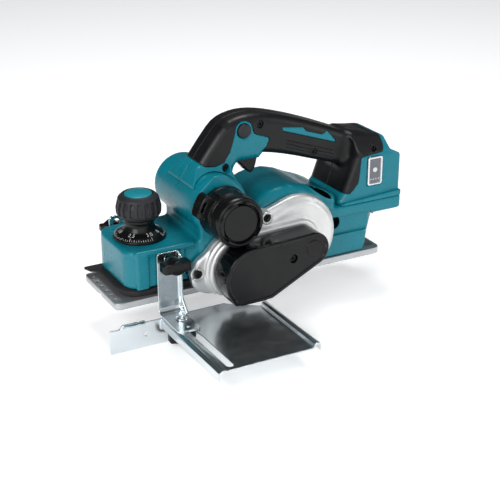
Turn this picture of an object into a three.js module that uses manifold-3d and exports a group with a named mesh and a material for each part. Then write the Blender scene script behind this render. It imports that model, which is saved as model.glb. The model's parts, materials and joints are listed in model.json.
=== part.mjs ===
// Electric hand planer, 82 mm cutting width, cordless, with its edge fence fitted.
// Frame: millimetres, +Z up, -X towards the front shoe and the depth knob, +X towards the battery end,
// -Y towards the belt side. z = 0 is the face of the rear sole and y = 0 is the middle of the sole.
import * as THREE from "three";
import { mergeVertices } from "three/addons/utils/BufferGeometryUtils.js";
import Module from "manifold-3d";

const wasm = await Module();
wasm.setup();

// ---------------------------------------------------------------- driving dimensions
const GAP = 0.3; // clearance between neighbouring pieces
const SOLE = { frontX: -173, rearX: 140.5, halfWidth: 42.5, thickness: 7 };
const CUT_DEPTH = 2; // the front shoe stands this far above the rear sole
const MOUTH = { frontX: -61, rearX: -27, slope: 7 };
const DRUM = { x: -43, z: 28, radius: 26, edgeRadius: 28, halfLength: 40.5, shaft: 6 };
const MOTOR = { x: 25, z: 44.5, shaft: 4 };
const SIDE = 41.5; // half width of the main housing
const CASTING = { inner: -42.8, outer: -62, drumR: 41, motorR: 44.5, bottomZ: 5, farWall: 52 };
const COVER = { inner: -62.3, outer: -89, drumR: 31.5, motorR: 18, bottomZ: 0.4, wall: 2.5 };
const CASTING_SCREW = { x: 2, z: 39 }; // the boss between the pulleys that holds the belt cover
const FRONT_LUG = { x: -89, z: 28.5 };
const TOP_LUG = { x: -12, z: 75 };
const PULLEY = { drumR: 22, motorR: 11, near: -76, far: -64, belt: 2 };
const CHUTE = {
  x: -55.5,
  z: 89.5,
  radius: 30.5,
  bore: 26,
  far: 55,
};
// The turning outlet and its cap, on the belt side of the chute.
const OUTLET = { x: -54.8, z: 86, bore: 23, wallBore: 25, collarR: 26, capR: 26.2, capFar: -64.3, capNear: -85 };
const DOME = { x: 20, z: 44.5, radius: 52 };
const BLOCK = { frontX: -158, topZ: 58, bottomZ: 19 }; // front block under the depth knob
const KNOB = { x: -127, dialZ: 58.3, dialR: 28.5, gripR: 24.5, gripZ: 74, topZ: 103 };
// The spring that pushes the front shoe down.
const SPRING = {
  bottomZ: CUT_DEPTH + SOLE.thickness + 0.5,
  topZ: BLOCK.topZ - 3.9,
  radius: 13.5,
  wire: 1.1,
  turns: 6,
};
const SHELL = { half: 17, gripHalf: 19.3, blockHalf: 38, seamZ: 62.8, wall: 3 };
const REAR = { x: 164, topZ: 109.5, stepX: 150, crownZ: 129 };
const TRIGGER = { x: -22, z: 128, half: 6.5 };
const LOCK = { x: -17, z: 156.5, radius: 7.2 };
const BRACKET = { x0: -129, x1: -104.5, inner: -42.8, sheet: 2.5, topZ: 55, footTopZ: -9, footEndY: -93 };
const FENCE = {
  x0: -129,
  x1: -28,
  farY: -52,
  nearY: -178,
  topZ: -11.8,
  sheet: 2,
  bottomZ: -39.5,
  noseX: -185,
};
const BOLT = { x: -114, y: -67, r: 3 };
const STUD = { x: -116.5, z: 46, r: 3 };
const GUIDE = { x: -134, z: 50, y: 43, halfWidth: 8, sheet: 2, toeZ: 12, topZ: 66, travel: 9 };

// ---------------------------------------------------------------- materials
const material = (color, roughness, metalness = 0) =>
  new THREE.MeshStandardMaterial({ color, roughness, metalness });
const TEAL = material(0x0d7f8b, 0.4);
const BLACK = material(0x1c1d20, 0.45);
const RUBBER = material(0x2b2b2e, 0.8);
const ALUMINIUM = material(0xc9ccce, 0.35, 0.9);
const ZINC = material(0xa9b4b8, 0.3, 1);
const STEEL = material(0x8d9094, 0.3, 1);
const COPPER = material(0xb4693a, 0.4, 0.8);
const FOAM = material(0x242424, 0.95);
const BOARD = material(0x1f6b3c, 0.6);

// ---------------------------------------------------------------- solids from three.js geometry
// A closed three.js geometry as a solid, with doubled vertices merged and empty triangles dropped.
function solid(geometry) {
  const bare = geometry.index ? geometry.toNonIndexed() : geometry.clone();
  bare.deleteAttribute("normal");
  bare.deleteAttribute("uv");
  const merged = mergeVertices(bare, 1e-4);
  const index = merged.index.array;
  const kept = [];
  for (let i = 0; i < index.length; i += 3) {
    const [a, b, c] = [index[i], index[i + 1], index[i + 2]];
    if (a !== b && b !== c && c !== a) kept.push(a, b, c);
  }
  const vertProperties = merged.attributes.position.array;
  return new wasm.Manifold(new wasm.Mesh({ numProp: 3, vertProperties, triVerts: new Uint32Array(kept) }));
}

const join = (...pieces) => pieces.reduce((whole, piece) => whole.add(piece));
const cut = (whole, ...tools) => tools.reduce((left, tool) => left.subtract(tool), whole);

// A box between two corners.
function box(x0, x1, y0, y1, z0, z1) {
  const made = new THREE.BoxGeometry(x1 - x0, y1 - y0, z1 - z0);
  made.translate((x0 + x1) / 2, (y0 + y1) / 2, (z0 + z1) / 2);
  return solid(made);
}

// An upright cylinder, and a cylinder along Y.
function cylinderZ(x, y, r, z0, z1, sides = 32, topR = r) {
  const made = new THREE.CylinderGeometry(topR, r, z1 - z0, sides);
  made.rotateX(Math.PI / 2);
  return solid(made.translate(x, y, (z0 + z1) / 2));
}
function cylinderY(x, z, r, y0, y1, sides = 32, farR = r) {
  const made = new THREE.CylinderGeometry(farR, r, y1 - y0, sides);
  return solid(made.translate(x, (y0 + y1) / 2, z));
}

// A body turned about an axis along Y at (x, z): profile points are [radius, y], from low y to high y.
function turnedY(x, z, profile, sides = 48) {
  const made = new THREE.LatheGeometry(profile.map(([r, y]) => new THREE.Vector2(r, y)), sides);
  return solid(made.translate(x, 0, z));
}
// The same about an upright axis at (x, y): profile points are [radius, z].
function turnedZ(x, y, profile, sides = 48) {
  const made = new THREE.LatheGeometry(profile.map(([r, z]) => new THREE.Vector2(r, z)), sides);
  made.rotateX(Math.PI / 2);
  return solid(made.translate(x, y, 0));
}

const polygon = (points) => new THREE.Shape(points.map(([a, b]) => new THREE.Vector2(a, b)));

// A side outline, drawn as (x, z), run from y0 to y1, with its two rims rounded by the bevel.
function prismY(outline, y0, y1, bevel = 0, steps = 2, arcSteps = 12) {
  const made = new THREE.ExtrudeGeometry(outline, {
    depth: y1 - y0 - 2 * bevel,
    bevelEnabled: bevel > 0,
    bevelSize: bevel,
    bevelThickness: bevel,
    bevelOffset: -bevel,
    bevelSegments: steps,
    curveSegments: arcSteps,
  });
  made.rotateX(Math.PI / 2);
  return solid(made.translate(0, y1 - bevel, 0));
}
// A plan outline, drawn as (x, y), run from z0 to z1.
function prismZ(outline, z0, z1, bevel = 0, steps = 2) {
  const made = new THREE.ExtrudeGeometry(outline, {
    depth: z1 - z0 - 2 * bevel,
    bevelEnabled: bevel > 0,
    bevelSize: bevel,
    bevelThickness: bevel,
    bevelOffset: -bevel,
    bevelSegments: steps,
    curveSegments: 4,
  });
  return solid(made.translate(0, 0, z0 + bevel));
}
// A cross-section, drawn as (y, z), run from x0 to x1.
function prismX(outline, x0, x1) {
  const made = new THREE.ExtrudeGeometry(outline, { depth: x1 - x0, bevelEnabled: false });
  const turn = new THREE.Matrix4().set(0, 0, 1, x0, 1, 0, 0, 0, 0, 1, 0, 0, 0, 0, 0, 1);
  return solid(made.applyMatrix4(turn));
}

// The outline of a belt run round two circles.
function beltOutline(a, ra, b, rb) {
  const along = Math.atan2(b.z - a.z, b.x - a.x);
  const spread = Math.acos((ra - rb) / Math.hypot(b.x - a.x, b.z - a.z));
  const outline = new THREE.Shape();
  outline.absarc(a.x, a.z, ra, along + spread, along + 2 * Math.PI - spread, false);
  outline.absarc(b.x, b.z, rb, along - spread, along + spread, false);
  return outline;
}

// A rectangle with rounded corners, each corner with its own radius: low-low, high-low, high-high, low-high.
function roundedRectangle(x0, x1, y0, y1, [a, b, c, d]) {
  const outline = new THREE.Shape();
  const corner = (x, y, r, from) => {
    if (r > 0) outline.absarc(x, y, r, from, from + Math.PI / 2, false);
    else outline.lineTo(x, y);
  };
  outline.moveTo(x0 + a, y0);
  corner(x1 - b, y0 + b, b, -Math.PI / 2);
  corner(x1 - c, y1 - c, c, 0);
  corner(x0 + d, y1 - d, d, Math.PI / 2);
  if (a > 0) corner(x0 + a, y0 + a, a, Math.PI);
  return outline;
}

// A coil spring: round wire on a helix about an axis, flattened to two closed end turns by its height.
function coil(radius, wire, height, turns, sides = 6, stepsPerTurn = 10) {
  class Helix extends THREE.Curve {
    getPoint(t, target = new THREE.Vector3()) {
      const angle = 2 * Math.PI * turns * t;
      return target.set(radius * Math.cos(angle), radius * Math.sin(angle), wire + (height - 2 * wire) * t);
    }
  }
  const section = new THREE.Shape().absarc(0, 0, wire, 0, 2 * Math.PI, false);
  const made = new THREE.ExtrudeGeometry(section, {
    steps: turns * stepsPerTurn,
    curveSegments: sides / 2,
    extrudePath: new Helix(),
    bevelEnabled: false,
  });
  return made;
}

// ---------------------------------------------------------------- sole and front shoe
function rearBase() {
  const side = polygon([
    [MOUTH.rearX, 0],
    [SOLE.rearX, 0],
    [SOLE.rearX, SOLE.thickness],
    [MOUTH.rearX + MOUTH.slope, SOLE.thickness],
  ]);
  const half = SOLE.halfWidth;
  const plan = roundedRectangle(MOUTH.rearX - 1, SOLE.rearX, -half, half, [0.5, 9, 9, 0.5]);
  return prismY(side, -half, half).intersect(prismZ(plan, -1, SOLE.thickness + 1));
}

function frontBase() {
  const bottom = CUT_DEPTH;
  const top = bottom + SOLE.thickness;
  const side = polygon([
    [SOLE.frontX, bottom],
    [MOUTH.frontX, bottom],
    [MOUTH.frontX - MOUTH.slope, top],
    [SOLE.frontX, top],
  ]);
  const half = SOLE.halfWidth;
  const plan = roundedRectangle(SOLE.frontX, MOUTH.frontX + 1, -half, half, [6, 0.5, 0.5, 6]);
  const groove = polygon([[-4, bottom - 1], [4, bottom - 1], [0, bottom + 3]]);
  const nutBoss = cylinderZ(KNOB.x, 0, 10, top - 1, 32, 24);
  const plate = prismY(side, -half, half).intersect(prismZ(plan, bottom - 1, top + 1));
  return cut(
    join(plate, nutBoss),
    prismX(groove, SOLE.frontX - 1, MOUTH.frontX + 1),
    cylinderZ(KNOB.x, 0, 5 + GAP, bottom - 1, 40, 20),
  );
}

// The foam dust seal between the front shoe and the housing: a closed ring.
function frontSeal() {
  const z0 = CUT_DEPTH + SOLE.thickness + GAP;
  const outer = roundedRectangle(-163, -84, -40.5, 40.5, [13, 2, 2, 13]);
  const inner = roundedRectangle(-148, -92, -28, 28, [6, 2, 2, 6]);
  return cut(prismZ(outer, z0, 17.4), prismZ(inner, z0 - 1, 19));
}

// ---------------------------------------------------------------- main housing
// The dome over the motor: a drum lying along Y whose rims are rounded off.
function domeSolid(grow) {
  const rim = [
    [0, -SIDE],
    [45.5, -SIDE],
    [49, -36.5],
    [51.3, -30],
    [DOME.radius, -22],
    [DOME.radius, 22],
    [50.5, 32],
    [47, 38.5],
    [41, SIDE],
    [0, SIDE],
  ];
  return turnedY(DOME.x, DOME.z, rim.map(([r, y]) => [r === 0 ? 0 : r + grow, y]), 56);
}

// The lower body behind the motor, with the slanted rear wall and the overhang under the battery bay.
function rearBody() {
  const side = polygon([
    [0, SOLE.thickness + GAP],
    [117, SOLE.thickness + GAP],
    [123, 30],
    [132, 46],
    [138, 39.5],
    [REAR.x, 50],
    [REAR.x - 3, 62.5],
    [60, 62.5],
    [0, 62.5],
  ]);
  return prismY(side, -SIDE, SIDE, 2, 1);
}

function mainHousing() {
  const blockPlan = roundedRectangle(BLOCK.frontX, -70, -SIDE, SIDE, [17, 0, 0, 17]);
  const frontBlock = prismZ(blockPlan, BLOCK.bottomZ, BLOCK.topZ, 3, 2);
  const tower = prismY(
    polygon([[-86, 24], [-14, 24], [-14, 62], [-28, 92], [-30, 104], [-86, 104]]),
    -SIDE,
    SIDE,
    2,
    1,
  );
  const tube = cylinderY(CHUTE.x, CHUTE.z, CHUTE.radius, -SIDE, CHUTE.far, 48);
  const outletWall = prismY(
    polygon([[-80, 60], [-80, 108], [-62, 123], [-52, 121.5], [-45, 115.5], [-8.5, 76.5], [-14, 60]]),
    -SIDE,
    -33,
  );
  const shoulder = prismY(
    polygon([[30, 50], [30, 94], [45, 91.5], [73, 81], [82, 76.5], [85.5, 71], [85.5, 50]]),
    -SIDE,
    SIDE,
    10,
    2,
  );
  const bracketPad = box(-134, -100, -42.3, -38, 24, 52);
  const outside = join(frontBlock, tower, tube, outletWall, domeSolid(0), shoulder, rearBody(), bracketPad);

  const knobWell = box(-148, -91, -34, 34, BLOCK.bottomZ - 1, BLOCK.topZ - 3.5);
  const screwHole = cylinderZ(KNOB.x, 0, 6, 40, BLOCK.topZ + 5, 24);
  const drumChamber = cylinderY(DRUM.x, DRUM.z, 37, -60, 60, 48);
  const underDrum = box(-80, -8, -60, 60, -1, 30);
  const belowBody = box(-30, 200, -60, 60, -20, SOLE.thickness + GAP);
  const chipDuct = box(-78, -34, -34, 34, 55, 92);
  const chuteBore = cylinderY(CHUTE.x, CHUTE.z, CHUTE.bore, -36, 80, 40);
  const outletBore = cylinderY(OUTLET.x, OUTLET.z, OUTLET.wallBore, -60, -30, 40);
  const motorRoom = cylinderY(MOTOR.x, MOTOR.z, 33, -60, 39, 40);
  const farMouth = cylinderY(MOTOR.x, MOTOR.z, 29, 30, 60, 32);
  const rearRoom = box(50, 112, -38, 38, 11, 59);
  const airWay = box(104, 150, -30, 30, 52, 70);
  const studHole = cylinderY(STUD.x, STUD.z, STUD.r + GAP, -50, -30, 16);
  const guideHole = cylinderY(GUIDE.x, GUIDE.z, STUD.r + GAP, 30, 50, 16);
  const sideVents = [0, 1, 2].map((i) => box(-100 + 3 * i, -90 + 2 * i, -50, -30, 30 - 5 * i, 32.2 - 5 * i));
  const notchVent = cylinderY(80, 40, 8, -50, -36, 20);
  const ovalVent = box(52, 66, -45, -24, 66, 92);
  const rearVents = [0, 1, 2, 3].map((i) => box(78 + 8 * i, 82 + 8 * i, 36, 50, 20, 48));
  const lugHoles = [FRONT_LUG, TOP_LUG].map(({ x, z }) => cylinderY(x, z, 2.5 + GAP, -50, -30, 12));
  return cut(
    outside,
    knobWell,
    screwHole,
    drumChamber,
    underDrum,
    belowBody,
    chipDuct,
    chuteBore,
    outletBore,
    motorRoom,
    farMouth,
    rearRoom,
    airWay,
    studHole,
    guideHole,
    ...sideVents,
    notchVent,
    ovalVent,
    ...rearVents,
    ...lugHoles,
  );
}

// ---------------------------------------------------------------- aluminium frame and belt drive
// One casting: the belt-side wall, an arch behind the drum and the far bearing wall.
function drumFrame() {
  const outline = beltOutline(DRUM, CASTING.drumR, MOTOR, CASTING.motorR);
  const wall = prismY(outline, CASTING.outer, CASTING.inner, 2.5, 2);
  const frontLug = cylinderY(FRONT_LUG.x, FRONT_LUG.z, 9, -59, CASTING.inner, 20);
  const topLug = cylinderY(TOP_LUG.x, TOP_LUG.z, 8, -58, CASTING.inner, 20);
  const arch = cut(
    cylinderY(DRUM.x, DRUM.z, 36.4, CASTING.inner - 1, 43, 40),
    cylinderY(DRUM.x, DRUM.z, 31.5, CASTING.inner - 2, 44, 40),
    box(-90, -40, -60, 60, -10, 80),
    box(-90, 0, -60, 60, -10, 12),
  );
  const farWall = cut(
    cylinderY(DRUM.x, DRUM.z, 36.4, 42.3, CASTING.farWall, 40),
    box(-90, 0, 40, 60, -12, 12),
  );
  const pocket = prismY(beltOutline(DRUM, 26, MOTOR, 14.5), CASTING.outer - 1, -50);
  return cut(
    join(wall, frontLug, topLug, arch, farWall),
    pocket,
    box(-130, 100, -70, -40, -40, CASTING.bottomZ),
    cylinderY(DRUM.x, DRUM.z, 13.3, -51, -42, 28),
    cylinderY(DRUM.x, DRUM.z, 13.3, 42, 50.5, 28),
    cylinderY(MOTOR.x, MOTOR.z, 11.3, -51, -42, 28),
    cylinderY(OUTLET.x, OUTLET.z, OUTLET.collarR + 0.6, -70, -42, 40),
    cylinderY(FRONT_LUG.x, FRONT_LUG.z, 2.5 + GAP, -70, -40, 12),
    cylinderY(TOP_LUG.x, TOP_LUG.z, 2.5 + GAP, -70, -40, 12),
    cylinderY(TOP_LUG.x, TOP_LUG.z, 5.2, -70, -57.8, 20),
    cylinderY(CASTING_SCREW.x, CASTING_SCREW.z, 2 + GAP, -70, -48, 12),
  );
}

function beltCover() {
  const outside = prismY(beltOutline(DRUM, COVER.drumR, MOTOR, COVER.motorR), COVER.outer, COVER.inner, 2, 2);
  const w = COVER.wall;
  const innerOutline = beltOutline(DRUM, COVER.drumR - w, MOTOR, COVER.motorR - w);
  const inside = prismY(innerOutline, COVER.outer + w, COVER.inner + 1);
  const floor = box(-120, 80, COVER.outer - 1, COVER.inner + 1, -40, COVER.bottomZ);
  const innerFloor = box(-120, 80, COVER.outer + w, COVER.inner + 2, -40, COVER.bottomZ + w);
  const screwHole = cylinderY(CASTING_SCREW.x, CASTING_SCREW.z, 2 + GAP, -95, -60, 12);
  const headWell = cylinderY(CASTING_SCREW.x, CASTING_SCREW.z, 4, -95, -87.6, 16);
  return cut(outside, floor, cut(inside, innerFloor), screwHole, headWell);
}

// A screw along Y whose head is at the near end, with a hexagon socket.
function screwY(x, z, headY, headR, headLength, shaftR, length) {
  const head = cylinderY(x, z, headR, headY, headY + headLength, 16);
  const shaft = cylinderY(x, z, shaftR, headY + headLength - 0.5, headY + length, 10);
  return cut(join(head, shaft), cylinderY(x, z, headR * 0.5, headY - 1, headY + headLength * 0.6, 6));
}

const ringY = (at, outer, inner, y0, y1, sides = 28) =>
  cut(cylinderY(at.x, at.z, outer, y0, y1, sides), cylinderY(at.x, at.z, inner, y0 - 1, y1 + 1, sides));

function driveBelt() {
  const outer = prismY(
    beltOutline(DRUM, PULLEY.drumR + GAP + PULLEY.belt, MOTOR, PULLEY.motorR + GAP + PULLEY.belt),
    PULLEY.near + 1,
    PULLEY.far - 1,
  );
  const inner = prismY(
    beltOutline(DRUM, PULLEY.drumR + GAP, MOTOR, PULLEY.motorR + GAP),
    PULLEY.near,
    PULLEY.far,
  );
  return cut(outer, inner);
}

// ---------------------------------------------------------------- cutter drum
const BLADE = { seat: 16.2, thickness: 2, width: 20, reach: 21, clamp: 3.4, clampWidth: 15 };

// A slab that lies across the drum on one of its two seats, given as offsets from the drum's axis.
function drumSlab(side, tangent0, tangent1, offset0, offset1, half) {
  const made = new THREE.BoxGeometry(tangent1 - tangent0, 2 * half, offset1 - offset0);
  made.translate((tangent0 + tangent1) / 2, 0, (offset0 + offset1) / 2);
  made.rotateY(side * Math.PI + Math.PI / 5);
  return solid(made.translate(DRUM.x, 0, DRUM.z));
}

function cutterDrum() {
  const body = cylinderY(DRUM.x, DRUM.z, DRUM.radius, -DRUM.halfLength, DRUM.halfLength, 48);
  const shaft = cylinderY(DRUM.x, DRUM.z, DRUM.shaft, -78, 50, 20);
  const seats = [0, 1].map((side) => drumSlab(side, -4, 40, BLADE.seat, 40, 60));
  return join(cut(body, ...seats), shaft);
}
function blade(side) {
  const low = BLADE.seat + GAP;
  return drumSlab(side, BLADE.reach - BLADE.width, BLADE.reach, low, low + BLADE.thickness, 41);
}
function clampPlate(side) {
  const low = BLADE.seat + 2 * GAP + BLADE.thickness;
  return drumSlab(side, -2, BLADE.clampWidth, low, low + BLADE.clamp, 39);
}

// ---------------------------------------------------------------- motor
function rotor() {
  const core = cylinderY(MOTOR.x, MOTOR.z, 15, -20, 12, 32);
  return join(core, cylinderY(MOTOR.x, MOTOR.z, MOTOR.shaft, -78, 38, 16));
}
function stator() {
  const slots = Array.from({ length: 6 }, (_, i) => {
    const made = new THREE.BoxGeometry(5, 40, 6);
    made.translate(0, -4, 18);
    made.rotateY((i * Math.PI) / 3);
    return solid(made.translate(MOTOR.x, 0, MOTOR.z));
  });
  return cut(ringY(MOTOR, 26, 15.6, -20, 12, 36), ...slots);
}
function coolingFan() {
  const blades = Array.from({ length: 9 }, (_, i) => {
    const made = new THREE.BoxGeometry(2, 11, 20);
    made.translate(0, 22.5, 17);
    made.rotateY((i * 2 * Math.PI) / 9);
    return solid(made.translate(MOTOR.x, 0, MOTOR.z));
  });
  const disc = cylinderY(MOTOR.x, MOTOR.z, 28, 15, 18, 36);
  const hub = cylinderY(MOTOR.x, MOTOR.z, 9, 15, 28, 20);
  return cut(join(disc, hub, ...blades), cylinderY(MOTOR.x, MOTOR.z, MOTOR.shaft + GAP, 10, 40, 16));
}
function motorEndCover() {
  const disc = cylinderY(MOTOR.x, MOTOR.z, 33, 42, 47, 40, 30.5);
  const boss = cylinderY(MOTOR.x, MOTOR.z, 13, 30.5, 43, 28);
  const vents = Array.from({ length: 8 }, (_, i) => {
    const made = new THREE.BoxGeometry(6, 20, 11);
    made.translate(0, 45, 22);
    made.rotateY((i * Math.PI) / 4);
    return solid(made.translate(MOTOR.x, 0, MOTOR.z));
  });
  return cut(join(disc, boss), cylinderY(MOTOR.x, MOTOR.z, 9.8, 29, 39.5, 24), ...vents);
}

// ---------------------------------------------------------------- handle shells
// Crest and underside of the D handle, from the front foot to the battery block.
const CREST = [
  [-66, 130],
  [-53, 147],
  [-38, 163.5],
  [-21, 170],
  [-3, 171],
  [18, 167.5],
  [46, 159.3],
  [77, 148],
  [104, 137],
  [126, REAR.crownZ],
];
const UNDERSIDE = [
  [63, 113],
  [45, 119],
  [22, 125.5],
  [7, 128.5],
  [3, 123],
  [-22, 123.5],
  [-26, 118],
  [-30, 104.5],
];
const HANDLE_SCREWS = [
  { x: -38.5, z: 121, y: -SHELL.half },
  { x: 1.5, z: 161, y: -SHELL.half },
  { x: 66, z: 121, y: -SHELL.half },
  { x: 131, z: 119.5, y: -SHELL.blockHalf + 5 },
];

// Points along a smooth curve through the given ones.
function smooth(points, count) {
  const curve = new THREE.SplineCurve(points.map(([a, b]) => new THREE.Vector2(a, b)));
  return curve.getPoints(count).map((p) => [p.x, p.y]);
}

function handleSolid() {
  const arch = polygon([
    [-77, 104.5],
    [-70, 122],
    ...smooth(CREST, 20),
    [126, 98],
    [100, 100.7],
    ...UNDERSIDE,
  ]);
  const grip = prismY(arch, -SHELL.half, SHELL.half, 7, 3);
  const block = prismY(
    polygon([
      [86, SHELL.seamZ],
      [88.5, 67],
      [94, 73],
      [109, 112],
      [111, 126],
      [108, REAR.crownZ + 6],
      [REAR.stepX, REAR.crownZ],
      [REAR.stepX, 117],
      [REAR.x, REAR.topZ],
      [REAR.x, SHELL.seamZ],
    ]),
    -SHELL.blockHalf,
    SHELL.blockHalf,
    3,
    1,
  );
  const shoulder = (sign) => {
    const section = [[25, 142], [25, 130], [40, 113], [40, 142]].map(([y, z]) => [sign * y, z]);
    return prismX(polygon(section), 90, REAR.stepX + 5);
  };
  return cut(join(grip, block), shoulder(-1), shoulder(1));
}

function handleHollow() {
  const front = [[-44, 140], [-33, 156], [-18, 164], [-3, 165.5]];
  const ceiling = [...front, [18, 162], [46, 153], [77, 141.5], [106, 128]];
  const room = prismY(
    polygon([
      ...smooth(ceiling, 12),
      [106, 108],
      [66, 118],
      [45, 124.5],
      [22, 131],
      [5, 134],
      [-24, 134],
      [-34, 122],
    ]),
    -SHELL.half + SHELL.wall,
    SHELL.half - SHELL.wall,
  );
  const triggerSlot = box(-27, 8, -TRIGGER.half - 1, TRIGGER.half + 1, 100, 138);
  const roomOutline = polygon([[104, 55], [104, 88], [112.5, 110], [147, 110], [147, 55]]);
  const blockRoom = prismY(roomOutline, -SHELL.blockHalf + 4, SHELL.blockHalf - 4);
  const batteryBay = box(153, 170, -31, 31, 67, 140);
  return join(room, triggerSlot, blockRoom, batteryBay);
}

function handleShell(side) {
  const rails = [-32, 26].map((y) => box(160.5, REAR.x - 0.2, y, y + 6, 66, 108));
  const whole = cut(
    handleSolid(),
    handleHollow(),
    cylinderY(CHUTE.x, CHUTE.z, CHUTE.radius + GAP, -40, 40, 48),
    cylinderY(DOME.x, DOME.z, DOME.radius + GAP, -60, 60, 56),
    cylinderY(LOCK.x, LOCK.z, LOCK.radius + 0.5, -40, 40, 24),
    ...HANDLE_SCREWS.map(({ x, z, y }) => cylinderY(x, z, 4.3, -60, y + 4, 16)),
    ...HANDLE_SCREWS.map(({ x, z, y }) => cylinderY(x, z, 1.7 + GAP, -60, -y - 6, 10)),
    box(121.2, 140.3, -45, -36.6, 79.2, 111.6),
    box(TRIGGER.x - 2.3, TRIGGER.x + 2.3, -12, 12, TRIGGER.z - 2.3, TRIGGER.z + 2.3),
  );
  const half = side < 0 ? box(-200, 200, -100, -GAP / 2, 0, 200) : box(-200, 200, GAP / 2, 100, 0, 200);
  return join(whole, ...rails).intersect(half);
}

// The soft overmould on one side of the grip, left open round the lock button and the trigger panel.
function gripPad(side) {
  const top = CREST.slice(1, -1).map(([x, z]) => [x + 1, z - 3]);
  const outline = polygon([
    [-63, 129],
    ...smooth([[-60, 134], ...top], 14),
    [99, 112],
    [64, 116.5],
    [45, 122],
    [22, 128.5],
    [9, 131.5],
    [14, 144],
    [-4, 150],
    [-28, 146],
    [-36, 131],
    [-46, 127],
  ]);
  const [y0, y1] = side < 0 ? [-SHELL.gripHalf, -SHELL.half - GAP] : [SHELL.half + GAP, SHELL.gripHalf];
  return cut(
    prismY(outline, y0, y1),
    cylinderY(LOCK.x, LOCK.z, 9.6, -40, 40, 24),
    ...HANDLE_SCREWS.map(({ x, z }) => cylinderY(x, z, 4.3, -60, 0, 16)),
    box(99.5, 120, -40, 40, 90, 150),
  );
}

// The soft overmould on one face of the battery block.
function blockPad(side) {
  const outline = polygon([[100.6, 77], [116, 112.2], [125.5, 112.2], [125.5, 114.5], [100.6, 114.5]]);
  const [y0, y1] = side < 0 ? [-40, -SHELL.blockHalf - GAP] : [SHELL.blockHalf + GAP, 40];
  return prismY(outline, y0, y1);
}

// ---------------------------------------------------------------- trigger, lock button, electrics
function trigger() {
  const finger = polygon([
    [-25.5, 124],
    ...smooth([[-19.5, 121], [-13, 115], [-7, 108.5], [-2.5, 105.5]], 6),
    ...smooth([[1.2, 108], [3.6, 114], [5.2, 121]], 4),
    [5.4, 129.5],
    [-24, 132],
  ]);
  const eye = cylinderY(TRIGGER.x, TRIGGER.z, 4, -TRIGGER.half, TRIGGER.half, 20);
  return cut(
    join(prismY(finger, -TRIGGER.half, TRIGGER.half, 1.5, 1), eye),
    cylinderY(TRIGGER.x, TRIGGER.z, 1.5 + GAP, -20, 20, 14),
  );
}
function lockButton() {
  const cap = (y0, y1) => cylinderY(LOCK.x, LOCK.z, LOCK.radius, y0, y1, 24);
  return join(cap(-21.5, -13), cap(13, 19.5), cylinderY(LOCK.x, LOCK.z, 3, -14, 14, 12));
}
function indicatorPanel() {
  return prismY(roundedRectangle(121.5, 140, 79.5, 111.3, [2, 2, 2, 2]), -39.6, -36.9, 0, 0, 2);
}
function batteryTerminal() {
  const base = box(153.3, 156, -20, 20, 70, 98);
  const fins = [-12, -4, 4, 12].map((y) => box(155.5, 163, y - 1, y + 1, 74, 94));
  return join(base, ...fins);
}
function controllerBoard() {
  const board = box(108, 144, -28, 28, 84, 86);
  const sink = box(112, 140, -20, 20, 85.5, 92);
  const fins = Array.from({ length: 5 }, (_, i) => box(112 + 6 * i, 114 + 6 * i, -20, 20, 91.5, 100));
  return join(board, sink, ...fins);
}

// ---------------------------------------------------------------- chip outlet
// The turning collar with its lever, and the cap that closes the unused side.
function outletCollar() {
  const ring = ringY(OUTLET, OUTLET.collarR, OUTLET.bore, -64, -41.8, 40);
  const arm = new THREE.BoxGeometry(15, 9, 12);
  arm.translate(-OUTLET.collarR - 4.5, -55, 0);
  arm.rotateY((16 * Math.PI) / 180);
  return join(ring, solid(arm.translate(OUTLET.x, 0, OUTLET.z)));
}
function outletCap() {
  const { capR, capNear, capFar } = OUTLET;
  const rim = [[21.5, -81], [21.5, capNear], [24.8, capNear], [capR, -83]];
  const profile = [[0, -81], ...rim, [capR, capFar], [0, capFar]];
  return cut(turnedY(OUTLET.x, OUTLET.z, profile, 48), cylinderY(OUTLET.x, OUTLET.z, 20.5, -78, -60, 32));
}

// ---------------------------------------------------------------- depth adjustment
function depthKnob() {
  const { gripR, gripZ, topZ } = KNOB;
  const skirt = [[0, 79], [16.2, 79], [20, gripZ], [23, gripZ + 2], [gripR, 82]];
  const profile = [...skirt, [gripR, 90], [23, 98], [19.5, 102], [16.5, topZ], [16.5, 100], [0, 100]];
  const flutes = Array.from({ length: 16 }, (_, i) => {
    const a = ((i + 0.5) * Math.PI) / 8;
    const reach = gripR + 1.2;
    return cylinderZ(KNOB.x + reach * Math.cos(a), reach * Math.sin(a), 2.6, 77, 105, 6);
  });
  return cut(turnedZ(KNOB.x, 0, profile, 32), ...flutes, cylinderZ(KNOB.x, 0, 5 + GAP, 70, 94, 20));
}
function knobCap() {
  const profile = [[0, 100.3], [16, 100.3], [16, 103], [12, 104.4], [6, 105.2], [0, 105.4]];
  return turnedZ(KNOB.x, 0, profile, 32);
}
function depthDial() {
  const { dialZ, dialR } = KNOB;
  const cone = [[dialR, dialZ], [dialR, 60.5], [24, 64], [17, 66.5], [15.4, 69], [15.4, 78.7]];
  const profile = [[5.3, dialZ], ...cone, [5.3, 78.7], [5.3, dialZ]];
  return turnedZ(KNOB.x, 0, profile, 40);
}
function depthScrew() {
  const shaft = cylinderZ(KNOB.x, 0, 5, 12, 93.5, 20);
  return join(shaft, cylinderZ(KNOB.x, 0, 8, 50.5, 53, 24));
}
// It stands on the front shoe and reaches up to the ceiling of the knob well.
function baseSpring() {
  const { bottomZ, topZ, radius, wire, turns } = SPRING;
  return solid(coil(radius, wire, topZ - bottomZ, turns).translate(KNOB.x, 0, bottomZ));
}

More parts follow.
